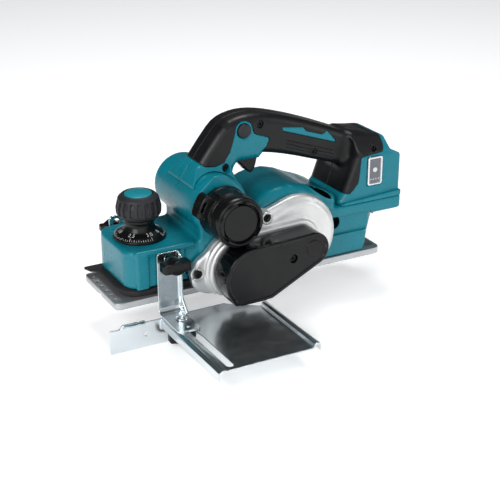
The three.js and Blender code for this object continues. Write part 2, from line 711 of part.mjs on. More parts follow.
// ---------------------------------------------------------------- edge fence
function fenceBracket() {
  const { x0, x1, inner, sheet, topZ, footTopZ, footEndY } = BRACKET;
  const hole = BOLT.r + GAP;
  const strip = box(x0, x1, inner - sheet, inner, footTopZ - sheet, topZ);
  const footPlan = roundedRectangle(x0, x1, footEndY, inner, [5, 5, 0.5, 0.5]);
  const foot = prismZ(footPlan, footTopZ - sheet, footTopZ);
  const ribY = inner - sheet - 3;
  const ribSection = polygon([[inner - 1, -10], [-62, -10], [ribY, 6], [ribY, 38], [inner - 1, 42]]);
  const rib = prismX(ribSection, x1 - sheet, x1);
  return cut(
    join(strip, foot, rib),
    box(STUD.x - 4, STUD.x + 4, inner - 5, inner + 1, STUD.z - 6, topZ + 1),
    box(BOLT.x - hole, BOLT.x + hole, BOLT.y - hole, BOLT.y + hole, -20, 0),
  );
}

function fencePlate() {
  const { x0, x1, farY, nearY, topZ, sheet, bottomZ, noseX } = FENCE;
  const plan = polygon([[x0, nearY], [x1, nearY], [x1, -74], [x1 - 30, farY], [x0, farY]]);
  const table = prismZ(plan, topZ - sheet, topZ);
  const flange = box(x0 - sheet, x0 + 0.5, nearY, farY, topZ - 10, topZ);
  const face = prismY(
    polygon([
      [noseX, bottomZ],
      [x1 - 34, bottomZ],
      [x1 - 30, topZ],
      [-146, topZ],
      [-148, topZ + 2.3],
      [-171, topZ + 2.3],
      [-174, topZ - 1.5],
      [noseX, topZ - 1.5],
    ]),
    farY - 0.5,
    farY + sheet,
  );
  const gutter = prismY(
    polygon([
      [x1 - 1, topZ - sheet],
      [x1 + 1, topZ - sheet],
      [x1 + 3, topZ + 2.5],
      [x1 + 7, topZ + 2.5],
      [x1 + 8, topZ - 5],
      [x1 + 10, topZ - 5],
      [x1 + 9, topZ + 4.5],
      [x1 + 1.5, topZ + 4.5],
      [x1 - 1, topZ],
    ]),
    nearY,
    -72,
  );
  return cut(
    join(table, flange, face, gutter),
    box(BOLT.x - 4, BOLT.x + 4, -172, -62, -20, 0),
    cylinderY(-146, -24.5, 2.6, -60, -40, 14),
  );
}

function fenceBolt() {
  const head = cylinderZ(BOLT.x, BOLT.y, 6.5, BRACKET.footTopZ + GAP, BRACKET.footTopZ + 3, 20, 5);
  return join(head, cylinderZ(BOLT.x, BOLT.y, BOLT.r, -30.5, BRACKET.footTopZ + 1, 16));
}

// A wing knob about an upright axis through the origin, hub downwards, with an open bore for its screw.
function wingKnob(hubR, span, height, thickness) {
  const hub = new THREE.CylinderGeometry(hubR, hubR * 0.85, height, 24).rotateX(Math.PI / 2);
  const wing = new THREE.ExtrudeGeometry(
    roundedRectangle(-span, span, -height / 2, height * 0.35, [4, 4, 3, 3]),
    { depth: thickness, bevelEnabled: false, curveSegments: 2 },
  );
  wing.rotateX(Math.PI / 2);
  wing.translate(0, thickness / 2, 0);
  const bore = new THREE.CylinderGeometry(BOLT.r + GAP, BOLT.r + GAP, height, 16).rotateX(Math.PI / 2);
  bore.translate(0, 0, 3);
  return cut(join(solid(hub), solid(wing)), solid(bore));
}
const fenceKnob = () => wingKnob(8, 14, 18, 6).translate(BOLT.x, BOLT.y, -25);
const bracketKnob = () => wingKnob(7, 15, 17, 8).rotate([-90, 0, 0]).translate(STUD.x, -60, STUD.z);
const bracketStud = () => cylinderY(STUD.x, STUD.z, STUD.r, -64, -34, 16);

// ---------------------------------------------------------------- rebate depth stop on the far side
function depthGuide() {
  const { x, y, halfWidth, sheet, toeZ, topZ, travel } = GUIDE;
  const strip = box(x - halfWidth, x + halfWidth, y, y + sheet, toeZ, topZ);
  const toe = box(x - halfWidth, x + halfWidth, y, y + 12, toeZ, toeZ + sheet);
  const slot = box(x - 3.5, x + 3.5, y - 1, y + sheet + 1, GUIDE.z - 3.5, GUIDE.z + 4 + travel);
  return cut(join(strip, toe), slot);
}
const guideStud = () => cylinderY(GUIDE.x, GUIDE.z, STUD.r, 34, 56, 16);
const guideKnob = () => wingKnob(7, 13, 14, 6).rotate([90, 0, 0]).translate(GUIDE.x, 54.5, GUIDE.z);

// ---------------------------------------------------------------- assembly
const planer = new THREE.Group();

// Puts one solid into the assembly as a named mesh.
function place(name, made, look, group = planer) {
  const { numProp, vertProperties, triVerts } = made.getMesh();
  const points = new Float32Array((vertProperties.length / numProp) * 3);
  for (let i = 0; i < points.length / 3; i++) {
    points.set(vertProperties.subarray(i * numProp, i * numProp + 3), i * 3);
  }
  const geometry = new THREE.BufferGeometry();
  geometry.setAttribute("position", new THREE.BufferAttribute(points, 3));
  geometry.setIndex(new THREE.BufferAttribute(triVerts, 1));
  geometry.computeVertexNormals();
  const mesh = new THREE.Mesh(geometry, look);
  mesh.name = name;
  group.add(mesh);
}

place("main_housing", mainHousing(), TEAL);
place("rear_base", rearBase(), ALUMINIUM);
place("drum_frame", drumFrame(), ALUMINIUM);
place("belt_cover", beltCover(), BLACK);
place("belt_cover_screw", screwY(CASTING_SCREW.x, CASTING_SCREW.z, -88.6, 3.7, 0.9, 2, 37), STEEL);
place("drive_belt", driveBelt(), RUBBER);
place("casting_screw_front", screwY(FRONT_LUG.x, FRONT_LUG.z, -62, 4.5, 2.7, 2.5, 26), STEEL);
place("casting_screw_top", screwY(TOP_LUG.x, TOP_LUG.z, -61, 4.5, 2.7, 2.5, 25), STEEL);
place("handle_shell_left", handleShell(-1), TEAL);
place("handle_shell_right", handleShell(1), TEAL);
for (const [side, word] of [[-1, "left"], [1, "right"]]) {
  place("grip_" + word, gripPad(side), RUBBER);
  place("rear_grip_" + word, blockPad(side), RUBBER);
}
HANDLE_SCREWS.forEach(({ x, z, y }, i) =>
  place("handle_screw_" + (i + 1), screwY(x, z, y + 0.4, 3.8, 3, 1.7, -2 * y - 12), BLACK),
);
place("switch_body", box(-6, 34, -10, 10, 138.5, 152), BLACK);
place("controller_board", controllerBoard(), BOARD);
place("indicator_panel", indicatorPanel(), ZINC);
place("battery_terminal", batteryTerminal(), BLACK);
place("trigger_pin", cylinderY(TRIGGER.x, TRIGGER.z, 1.5, -11.5, 11.5, 14), STEEL);

place("stator", stator(), COPPER);
place("motor_end_cover", motorEndCover(), BLACK);
place("drum_bearing_near", ringY(DRUM, 13, DRUM.shaft + GAP, -50.7, -42.5), STEEL);
place("drum_bearing_far", ringY(DRUM, 13, DRUM.shaft + GAP, 42.5, 50.2), STEEL);
place("motor_bearing_near", ringY(MOTOR, 11, MOTOR.shaft + GAP, -50.7, -42.5), STEEL);
place("motor_bearing_far", ringY(MOTOR, 9.5, MOTOR.shaft + GAP, 32, 39), STEEL);

place("cutter_drum", cutterDrum(), ALUMINIUM);
for (const side of [0, 1]) {
  place("blade_" + (side + 1), blade(side), STEEL);
  place("clamp_plate_" + (side + 1), clampPlate(side), STEEL);
}
place("drum_pulley", ringY(DRUM, PULLEY.drumR, DRUM.shaft + GAP, PULLEY.near, PULLEY.far, 40), ALUMINIUM);
place("rotor", rotor(), STEEL);
place("cooling_fan", coolingFan(), BLACK);
place("motor_pulley", ringY(MOTOR, PULLEY.motorR, MOTOR.shaft + GAP, PULLEY.near, PULLEY.far, 28), ALUMINIUM);

place("outlet_collar", outletCollar(), BLACK);
place("outlet_cap", outletCap(), BLACK);

place("front_base", frontBase(), ALUMINIUM);
place("front_seal", frontSeal(), FOAM);
place("base_spring", baseSpring(), STEEL);
place("depth_knob", depthKnob(), RUBBER);
place("knob_cap", knobCap(), TEAL);
place("depth_dial", depthDial(), BLACK);
place("depth_screw", depthScrew(), STEEL);

place("trigger", trigger(), BLACK);
place("lock_button", lockButton(), BLACK);

place("fence_bracket", fenceBracket(), ZINC);
place("bracket_stud", bracketStud(), STEEL);
place("bracket_knob", bracketKnob(), BLACK);
place("fence_plate", fencePlate(), ZINC);
place("fence_bolt", fenceBolt(), STEEL);
place("fence_knob", fenceKnob(), BLACK);
place("depth_guide", depthGuide(), ZINC);
place("guide_stud", guideStud(), STEEL);
place("guide_knob", guideKnob(), BLACK);

export default planer;
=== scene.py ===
"""Looks of the cordless hand planer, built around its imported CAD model.

Most pieces are carved on a grid as distance fields, in millimetres, so that moulded and cast edges get
their real rounding, and are then turned into meshes. Small and thin pieces use the same few tools.
"""
import json
import math

import bpy
import numpy as np
import openvdb
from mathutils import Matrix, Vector


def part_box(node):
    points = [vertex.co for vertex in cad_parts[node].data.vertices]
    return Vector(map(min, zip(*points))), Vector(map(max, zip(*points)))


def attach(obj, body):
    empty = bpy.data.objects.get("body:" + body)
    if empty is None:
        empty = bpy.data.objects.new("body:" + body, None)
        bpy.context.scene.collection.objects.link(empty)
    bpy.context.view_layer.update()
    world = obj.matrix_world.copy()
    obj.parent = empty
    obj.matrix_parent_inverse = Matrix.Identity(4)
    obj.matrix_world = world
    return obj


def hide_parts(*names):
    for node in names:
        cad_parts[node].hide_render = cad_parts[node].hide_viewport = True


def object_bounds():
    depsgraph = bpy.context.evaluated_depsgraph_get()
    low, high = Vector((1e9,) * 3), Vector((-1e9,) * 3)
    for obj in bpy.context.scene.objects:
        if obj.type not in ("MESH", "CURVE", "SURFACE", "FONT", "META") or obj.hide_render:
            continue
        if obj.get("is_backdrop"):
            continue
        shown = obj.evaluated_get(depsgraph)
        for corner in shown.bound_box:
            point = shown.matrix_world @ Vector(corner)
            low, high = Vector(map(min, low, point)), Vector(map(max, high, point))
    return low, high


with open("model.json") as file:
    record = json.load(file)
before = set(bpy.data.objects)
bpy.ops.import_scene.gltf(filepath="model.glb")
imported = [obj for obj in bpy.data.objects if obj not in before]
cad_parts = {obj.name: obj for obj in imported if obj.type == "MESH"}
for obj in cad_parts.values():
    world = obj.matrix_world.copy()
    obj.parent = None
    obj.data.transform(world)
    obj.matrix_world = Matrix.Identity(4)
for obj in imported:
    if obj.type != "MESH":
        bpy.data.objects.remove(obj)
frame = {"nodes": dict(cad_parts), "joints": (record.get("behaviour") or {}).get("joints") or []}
cad_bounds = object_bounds()

# -------- driving sizes, in millimetres
MM = 0.001
SEAM = 0.05  # half the gap between the two handle shells
JOINT_AT = {j["name"]: [c / MM for c in j.get("pos_m", (0, 0, 0))] for j in frame["joints"]}


def seen_from_side(joint):
    return JOINT_AT[joint][0], JOINT_AT[joint][2]


# places seen from the side, as (x, z)
DRUM = seen_from_side("cutter_spin")
MOTOR = seen_from_side("rotor_spin")
OUTLET = seen_from_side("outlet_turn")
PIVOT = seen_from_side("trigger_pull")
STUD = seen_from_side("bracket_knob_turn")
GUIDE = seen_from_side("guide_knob_turn")
CHUTE = (-55.5, 89.5)
DOME = (20, 44.5)
CASTING_DOME = (26.8, 44.5)
LOCK = (-17, 156.5)
COVER_SCREW = (2, 39)
LUGS = [(-89, 28.5), (-12, 75)]

# the heads of the handle's screws, as (x, z, y)
HANDLE_SCREWS = [(-38.5, 121, -18.4), (1.5, 161, -18.4), (66, 121, -18.6), (131, 119.5, -34)]

# lengths and heights
KNOB_X = JOINT_AT["depth_knob_turn"][0]
BOLT = JOINT_AT["fence_knob_turn"][:2]  # x and y of the fence's clamp bolt
SIDE = 41.5  # half the housing's width
BLOCK_HALF = 38
GRIP_HALF = 18.6
SEAT_Z = 62.5  # the flat joint between the housing and the battery block
FOOT_Z = SEAT_Z + 0.3
REAR_X = 164
DOME_R = 52
TUBE_R = 30.5
TUBE_BORE = 26
MOUTH_R = 25
COVER_R = (31.5, 18)  # the belt cover's radii round the drum pulley and the motor pulley
WALL = 2.5
FLOOR_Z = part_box("fence_plate")[0].z / MM
CREST = [
    (-66, 130), (-53, 147), (-38, 163.5), (-21, 170), (-3, 171), (18, 167.5), (46, 159.3), (77, 148),
    (104, 137), (126, 129),
]
UNDERSIDE = [(63, 113), (45, 119), (22, 125.5), (7, 128.5)]


# -------- distance fields
class Grid:
    """A box of space sampled at a fixed spacing. x, y and z are its coordinates, ready to be combined."""

    def __init__(self, low, high, step):
        margin = 3 * step
        self.step = step
        self.low = np.array(low, float) - margin
        counts = np.ceil((np.array(high) + margin - self.low) / step).astype(int) + 1
        lines = [(lo + step * np.arange(n)).astype(np.float32) for lo, n in zip(self.low, counts)]
        self.shape = tuple(counts)
        self.x = lines[0][:, None, None]
        self.y = lines[1][None, :, None]
        self.z = lines[2][None, None, :]

    def __iter__(self):
        return iter((self.x, self.y, self.z))


def smooth_path(points, count):
    """Points along a smooth curve through the given ones."""
    p = np.array([2 * np.array(points[0]) - points[1], *points, 2 * np.array(points[-1]) - points[-2]], float)
    t = np.linspace(0, len(points) - 1 - 1e-6, count)
    i = t.astype(int)
    s = (t - i)[:, None]
    a, b, c, d = p[i], p[i + 1], p[i + 2], p[i + 3]
    return [tuple(q) for q in 0.5 * (2 * b + (c - a) * s + (2 * a - 5 * b + 4 * c - d) * s**2
                                    + (3 * b - a - 3 * c + d) * s**3)]


def rounded(points, steps=5):
    """The points of a line or an outline, its corners with a third value rounded to that radius."""
    made = []
    for i, (x, y, *radius) in enumerate(points):
        if not radius:
            made.append((x, y))
            continue
        here = np.array([x, y], float)
        back = np.array(points[i - 1][:2], float) - here
        ahead = np.array(points[(i + 1) % len(points)][:2], float) - here
        back /= np.linalg.norm(back)
        ahead /= np.linalg.norm(ahead)
        half = math.acos(np.clip(back @ ahead, -1, 1)) / 2
        centre = here + (back + ahead) / np.linalg.norm(back + ahead) * radius[0] / math.sin(half)
        first = here + back * radius[0] / math.tan(half) - centre
        last = here + ahead * radius[0] / math.tan(half) - centre
        turn = math.atan2(first[0] * last[1] - first[1] * last[0], first @ last)
        for k in range(steps + 1):
            c, s = math.cos(turn * k / steps), math.sin(turn * k / steps)
            made.append((centre[0] + c * first[0] - s * first[1], centre[1] + s * first[0] + c * first[1]))
    return made


def outline(a, b, points):
    """Distance to a closed outline in the plane of the coordinates a and b, below zero inside.

    A point with a third value is a corner rounded to that radius."""
    points = rounded(points)
    a, b = np.broadcast_arrays(a, b)
    nearest = np.full(a.shape, 1e9, np.float32)
    inside = np.zeros(a.shape, bool)
    for (ax, ay), (bx, by) in zip(points, points[1:] + points[:1]):
        ex, ey = bx - ax, by - ay
        if ex * ex + ey * ey < 1e-9:
            continue
        wx, wy = a - ax, b - ay
        t = np.clip((wx * ex + wy * ey) / (ex * ex + ey * ey), 0, 1)
        nearest = np.minimum(nearest, (wx - ex * t) ** 2 + (wy - ey * t) ** 2)
        if ay != by:
            inside ^= ((ay <= b) != (by <= b)) & (a < ax + (b - ay) / (by - ay) * ex)
    return np.where(inside, -1, 1) * np.sqrt(nearest)


def strand(a, b, points, half):
    """Distance to a bent strip of sheet of the given half thickness, drawn as an open line."""
    nearest = np.float32(1e9)
    for (ax, ay), (bx, by) in zip(points, points[1:]):
        ex, ey = bx - ax, by - ay
        wx, wy = a - ax, b - ay
        t = np.clip((wx * ex + wy * ey) / (ex * ex + ey * ey), 0, 1)
        nearest = np.minimum(nearest, (wx - ex * t) ** 2 + (wy - ey * t) ** 2)
    return np.sqrt(nearest) - half


def disc(a, b, centre, radius=0.0):
    """Distance to a disc, or to its centre when no radius is given."""
    return np.sqrt((a - centre[0]) ** 2 + (b - centre[1]) ** 2) - radius


def run(a, b, first, first_r, second, second_r):
    """The outline of a belt run round two circles."""
    wx, wy = a - first[0], b - first[1]
    ex, ey = second[0] - first[0], second[1] - first[1]
    length = math.hypot(ex, ey)
    along = (wx * ex + wy * ey) / length
    across = np.abs(wx * ey - wy * ex) / length
    lean = (first_r - second_r) / length
    rise = math.sqrt(1 - lean * lean)
    k = along * rise - across * lean  # how far along the slanted side
    side = across * rise + along * lean - first_r
    near = np.sqrt(along**2 + across**2) - first_r
    far = np.sqrt((along - length) ** 2 + across**2) - second_r
    return np.where(k < 0, near, np.where(k > length * rise, far, side))


def slab(flat, t, t0, t1, r=0.0):
    """A flat outline run from t0 to t1 along the coordinate t, with its rims rounded to r."""
    q = flat + r
    w = np.abs(t - (t0 + t1) / 2) - (t1 - t0) / 2 + r
    if r == 0:
        return np.maximum(q, w)
    return np.minimum(np.maximum(q, w), 0) + np.sqrt(np.maximum(q, 0) ** 2 + np.maximum(w, 0) ** 2) - r


def side_plate(g, points, y0, y1, r=0.0):
    """An outline seen from the side, given its width along Y."""
    return slab(outline(g.x, g.z, points), g.y, y0, y1, r)


def plan_plate(g, points, z0, z1, r=0.0):
    """An outline seen from above, given its height."""
    return slab(outline(g.x, g.y, points), g.z, z0, z1, r)


def block(g, x0, x1, y0, y1, z0, z1, r=0.0):
    sides = ((g.x, x0, x1), (g.y, y0, y1), (g.z, z0, z1))
    q = [np.abs(t - (a + b) / 2) - (b - a) / 2 + r for t, a, b in sides]
    outside = np.sqrt(sum(np.maximum(c, 0) ** 2 for c in q))
    return outside + np.minimum(np.maximum(np.maximum(q[0], q[1]), q[2]), 0) - r


def turned(radius, along, profile):
    """A body turned about an axis: the profile's points are (distance from the axis, place along it)."""
    reach = float(radius.max()) + 1
    count = 500
    table = outline(np.linspace(0, reach, count)[:, None], along.ravel()[None, :], profile)
    place = np.squeeze(radius) / reach * (count - 1)
    row = np.minimum(place.astype(int), count - 2)
    share = (place - row)[..., None]
    field = table[row] * (1 - share) + table[row + 1] * share
    return (field if along.shape[2] > 1 else field.swapaxes(1, 2)).astype(np.float32)


def bar_y(g, centre, radius, y0, y1, r=0.0):
    return slab(disc(g.x, g.z, centre, radius), g.y, y0, y1, r)


def bar_z(g, centre, radius, z0, z1, r=0.0):
    return slab(disc(g.x, g.y, centre, radius), g.z, z0, z1, r)


def melt(a, b, k=0.0):
    """Joins two shapes with a fillet about k wide."""
    if k == 0:
        return np.minimum(a, b)
    h = np.clip(0.5 + 0.5 * (b - a) / k, 0, 1)
    return b + (a - b) * h - k * h * (1 - h)


def meet(a, b, k=0.0):
    """What two shapes share, its new edge rounded about k wide."""
    return -melt(-a, -b, k)


def dig(a, b, k=0.0):
    """The first shape with the second cut away."""
    return -melt(-a, b, k)


def carve(body, tools, k):
    """The body with every tool cut away in turn."""
    for tool in tools:
        body = dig(body, tool, k)
    return body


# -------- from field to mesh
def added(name, data):
    """A new object in the scene."""
    obj = bpy.data.objects.new(name, data)
    bpy.context.scene.collection.objects.link(obj)
    return obj


def sample(field, where):
    """The field's value between grid points, where is in grid steps."""
    i = np.clip(where.astype(int), 0, np.array(field.shape) - 2)
    f = (where - i).astype(np.float32)
    total = np.zeros(len(where), np.float32)
    for corner in range(8):
        o = np.array([corner & 1, corner >> 1 & 1, corner >> 2 & 1])
        weight = np.prod(np.where(o, f, 1 - f), axis=1)
        j = i + o
        total += weight * field[j[:, 0], j[:, 1], j[:, 2]]
    return total


def piece(name, g, field, body, look, slot, nodes=(), keep_detail=0.06, patch=None):
    """Makes one visible piece from a field: mesh, smooth normals, worn edges, material, body and CAD nodes.

    patch is a second material and a test, given face centres in millimetres, of where it goes."""
    field = np.ascontiguousarray(np.broadcast_to(field, g.shape), np.float32)
    band = 3 * g.step
    vdb = openvdb.FloatGrid(band)
    vdb.copyFromArray(np.clip(field, -band, band))
    points, triangles, quads = vdb.convertToPolygons(0.0, keep_detail)
    mesh = bpy.data.meshes.new(name)
    corners = np.concatenate([triangles.ravel(), quads.ravel()])
    sizes = np.concatenate([np.full(len(triangles), 3), np.full(len(quads), 4)])
    mesh.vertices.add(len(points))
    mesh.vertices.foreach_set("co", ((points * g.step + g.low) * MM).astype(np.float32).ravel())
    mesh.loops.add(len(corners))
    mesh.loops.foreach_set("vertex_index", corners.astype(np.int32))
    mesh.polygons.add(len(sizes))
    mesh.polygons.foreach_set("loop_start", (np.cumsum(sizes) - sizes).astype(np.int32))
    mesh.update()
    mesh.validate()
    shade(mesh, field, points)
    obj = added(name, mesh)
    mesh.materials.append(look)
    if patch:
        centres = np.zeros((len(mesh.polygons), 3), np.float32)
        mesh.polygons.foreach_get("center", centres.ravel())
        centres = centres.reshape(-1, 3) / MM
        mesh.materials.append(patch[0])
        mesh.polygons.foreach_set("material_index", patch[1](centres).astype(np.int32))
    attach(obj, body)
    if nodes:
        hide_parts(*nodes)
    return obj


def shade(mesh, field, points, reach=0.6):
    """Normals from the field's slope, and how sharply each point stands out as the attribute worn."""
    slope = np.empty((len(points), 3), np.float32)
    total = np.zeros(len(points), np.float32)
    for axis in range(3):
        shift = np.zeros(3)
        shift[axis] = reach
        ahead, back = sample(field, points + shift), sample(field, points - shift)
        slope[:, axis] = ahead - back
        shift *= 2
        total += sample(field, points + shift) + sample(field, points - shift)
    slope /= np.maximum(np.linalg.norm(slope, axis=1, keepdims=True), 1e-9)
    mesh.polygons.foreach_set("use_smooth", np.ones(len(mesh.polygons), bool))
    mesh.normals_split_custom_set_from_vertices(slope)
    worn = mesh.attributes.new("worn", "FLOAT", "POINT")
    worn.data.foreach_set("value", np.clip(total, 0, 4).astype(np.float32))


# -------- materials
def linear(r, g, b):
    """A display colour, 0 to 255, as the shader's linear colour."""
    shares = (r / 255, g / 255, b / 255)
    return tuple(c / 12.92 if c <= 0.04045 else ((c + 0.055) / 1.055) ** 2.4 for c in shares) + (1,)


def finish_look(name, colour, roughness, metal=0.0, drift=0.06, gloss_drift=0.05, grain=(1400, 0.2, 0.06),
                stretch=(1, 1, 1), worn=0.12, worn_colour=None, gleam=0.5):
    """A shader that varies in the object's own space. Colours are display colours, 0 to 255.

    drift is how far the colour wanders, gloss_drift the roughness. grain is the fine relief's count per
    metre, its strength and its height in millimetres, and stretch pulls it along an axis. worn is how much
    handled edges fade, to worn_colour or to a lighter shade of their own. gleam is how much it mirrors."""
    colour = linear(*colour)
    look = bpy.data.materials.new(name)
    look.use_nodes = True
    nodes, links = look.node_tree.nodes, look.node_tree.links
    shader = nodes["Principled BSDF"]
    shader.inputs["Metallic"].default_value = metal
    shader.inputs["Specular IOR Level"].default_value = gleam
    coords = nodes.new("ShaderNodeTexCoord").outputs["Object"]

    def noise(scale, detail, where=coords, rough=0.5):
        made = nodes.new("ShaderNodeTexNoise")
        made.inputs["Scale"].default_value = scale
        made.inputs["Detail"].default_value = detail
        made.inputs["Roughness"].default_value = rough
        links.new(where, made.inputs["Vector"])
        return made.outputs["Fac"]

    def spread(value, low, high, to_low, to_high):
        made = nodes.new("ShaderNodeMapRange")
        links.new(value, made.inputs["Value"])
        for socket, number in zip(("From Min", "From Max", "To Min", "To Max"), (low, high, to_low, to_high)):
            made.inputs[socket].default_value = number
        return made.outputs["Result"]

    def blend_colour(share, first, second):
        made = nodes.new("ShaderNodeMix")
        made.data_type = "RGBA"
        links.new(share, made.inputs["Factor"])
        for socket, value in (("A", first), ("B", second)):
            target = next(i for i in made.inputs if i.name == socket and i.type == "RGBA")
            if isinstance(value, tuple):
                target.default_value = value
            else:
                links.new(value, target)
        return next(o for o in made.outputs if o.type == "RGBA")

    dark = tuple(c * (1 - drift) for c in colour[:3]) + (1,)
    light = tuple(min(1, c * (1 + drift) + drift * 0.02) for c in colour[:3]) + (1,)
    base = blend_colour(spread(noise(55, 5), 0.3, 0.7, 0, 1), dark, light)
    faded = linear(*worn_colour) if worn_colour else tuple(min(1, c * 1.5 + 0.05) for c in colour[:3]) + (1,)
    edge = nodes.new("ShaderNodeAttribute")
    edge.attribute_name = "worn"
    rubbed = nodes.new("ShaderNodeMath")
    rubbed.operation = "MULTIPLY"
    links.new(spread(edge.outputs["Fac"], 0.35, 1.6, 0, worn), rubbed.inputs[0])
    links.new(spread(noise(260, 4), 0.35, 0.6, 0.3, 1.0), rubbed.inputs[1])
    links.new(blend_colour(rubbed.outputs[0], base, faded), shader.inputs["Base Color"])
    rough = spread(noise(90, 4, rough=0.65), 0.3, 0.7, roughness - gloss_drift, roughness + gloss_drift)
    links.new(rough, shader.inputs["Roughness"])
    stretched = nodes.new("ShaderNodeMapping")
    stretched.inputs["Scale"].default_value = stretch
    links.new(coords, stretched.inputs["Vector"])
    relief = nodes.new("ShaderNodeBump")
    relief.inputs["Strength"].default_value = grain[1]
    relief.inputs["Distance"].default_value = grain[2] * MM
    links.new(noise(grain[0], 3, stretched.outputs["Vector"], 0.6), relief.inputs["Height"])
    links.new(relief.outputs["Normal"], shader.inputs["Normal"])
    return look


TEAL = finish_look("teal_plastic", (0, 115, 130), 0.3, drift=0.05, grain=(2200, 0.05, 0.02), gleam=0.36)
TEAL_CAP = finish_look("teal_cap", (10, 134, 148), 0.28, drift=0.04, grain=(2200, 0.05, 0.02))
GLOSS = finish_look("gloss_plastic", (5, 5, 6), 0.15, drift=0.15, grain=(1600, 0.03, 0.02), gleam=0.28)
BLACK = finish_look(
    "black_plastic", (7, 7, 8), 0.28, drift=0.15, grain=(2200, 0.06, 0.02), worn=0.08, gleam=0.28,
)
FACE = finish_look("textured_plastic", (17, 17, 18), 0.4, drift=0.1, grain=(2400, 0.2, 0.04), gleam=0.25)
RUBBER = finish_look(
    "soft_grip", (10, 10, 12), 0.4, drift=0.12, grain=(2400, 0.15, 0.04), worn=0.12, gleam=0.32,
)
KNOB_RUBBER = finish_look(
    "knob_rubber", (34, 34, 38), 0.5, drift=0.1, grain=(2400, 0.15, 0.04), worn=0.2, gleam=0.35,
)
CAST = finish_look(
    "tumbled_casting", (222, 222, 221), 0.5, 1.0, drift=0.04, gloss_drift=0.07, grain=(800, 0.2, 0.12),
    worn=0.35, worn_colour=(242, 242, 240),
)
MACHINED = finish_look(
    "milled_aluminium", (186, 188, 190), 0.46, 0.85, drift=0.05, grain=(900, 0.2, 0.04),
    stretch=(3, 0.06, 1), worn=0.3, worn_colour=(230, 231, 232),
)
ZINC = finish_look(
    "bright_zinc", (210, 217, 220), 0.2, 1.0, drift=0.02, gloss_drift=0.03, grain=(150, 0.03, 0.02),
    worn=0.1, worn_colour=(246, 249, 250),
)
STEEL = finish_look("ground_steel", (160, 162, 165), 0.28, 1.0, grain=(900, 0.3, 0.05), stretch=(1, 0.1, 1))
SCREW = finish_look("blacked_steel", (24, 24, 26), 0.34, 0.6, drift=0.2, grain=(1100, 0.3, 0.05))
FOAM = finish_look("foam_rubber", (30, 30, 33), 0.95, drift=0.35, grain=(620, 1.0, 0.9), worn=0.0)
COPPER = finish_look(
    "enamelled_winding", (176, 98, 52), 0.3, 0.9, grain=(1500, 0.7, 0.2), stretch=(1, 0.1, 1),
)
BOARD = finish_look("circuit_board", (22, 92, 52), 0.45, drift=0.3, grain=(700, 0.6, 0.15))
PANEL = finish_look("panel_film", (104, 106, 113), 0.4, 0.2, grain=(1200, 0.2, 0.04))
FRAME = finish_look("plated_frame", (226, 227, 230), 0.24, 0.9, grain=(900, 0.2, 0.04))
PRINT = finish_look("white_print", (214, 214, 212), 0.5, drift=0.04, grain=(1800, 0.3, 0.03))


# -------- main housing
def near_wall(g):
    """The flat wall that carries the chip outlet, with a roof that slopes down behind it."""
    side = [(-78.7, 24), (-78.7, 80), (-80, 108, 8), (-63, 123.5, 10), (-50, 122.6, 8), (-8, 76), (-8, 24)]
    return side_plate(g, side, -SIDE, -33, 1.0)


def shoulder(g):
    """The rounded slope that carries the motor dome back to the battery block."""
    side = [(30, 50), (30, 94), (45, 91.5), (73, 81, 30), (84, 75.5, 3), (85.6, SEAT_Z), (85.6, 50)]
    return side_plate(g, side, -SIDE, SIDE, 13)


def air_vent(x, y, z, grow=0.0):
    """The oval air vent: a lens-shaped shaft that sinks square into the near shoulder."""
    high, low = np.array((50, -27, 89.5)), np.array((77, -38, 72))
    along = (low - high) / np.linalg.norm(low - high)
    outward = np.array((0.3, -0.7, 0.65))
    outward -= along * (outward @ along)
    outward /= np.linalg.norm(outward)
    middle = (high + low) / 2

    def measure(axis):
        return (x - middle[0]) * axis[0] + (y - middle[1]) * axis[1] + (z - middle[2]) * axis[2]

    oval = np.sqrt((measure(along) / 15) ** 2 + (measure(np.cross(along, outward)) / 4.4) ** 2)
    return slab((oval - 1) * 4.4 - grow, measure(outward), -9, 12, 0.5)


def rear_body(g):
    """The lower rear of the housing, with a long recess above a ledge on both sides."""
    x, y, z = g
    side = [
        (0, 7.3), (118.5, 7.3, 2), (124, 30, 5), (132, 46.5, 2), (138, 40.5, 2), (REAR_X, 49.5, 3),
        (REAR_X, SEAT_Z, 0.8), (0, SEAT_Z),
    ]
    body = side_plate(g, side, -SIDE, SIDE, 2)
    corner = np.abs(y) * 0.79 + x * 0.61 - 104 - (z - 7) * 0.06
    body = dig(body, meet(-corner, z - 49), 0.6)
    recess = outline(x, z, [(60, 31.5), (121, 31.5, 3), (127, 51.9, 2), (60, 52.2)])
    for sign in (-1, 1):
        body = dig(body, slab(recess, sign * y, 38.4, 60), 0.7)
        below_ledge = np.maximum(np.maximum(39.8 - sign * y, z - 28.5), 60 - x)
        body = dig(body, below_ledge, 0.7)
    return body


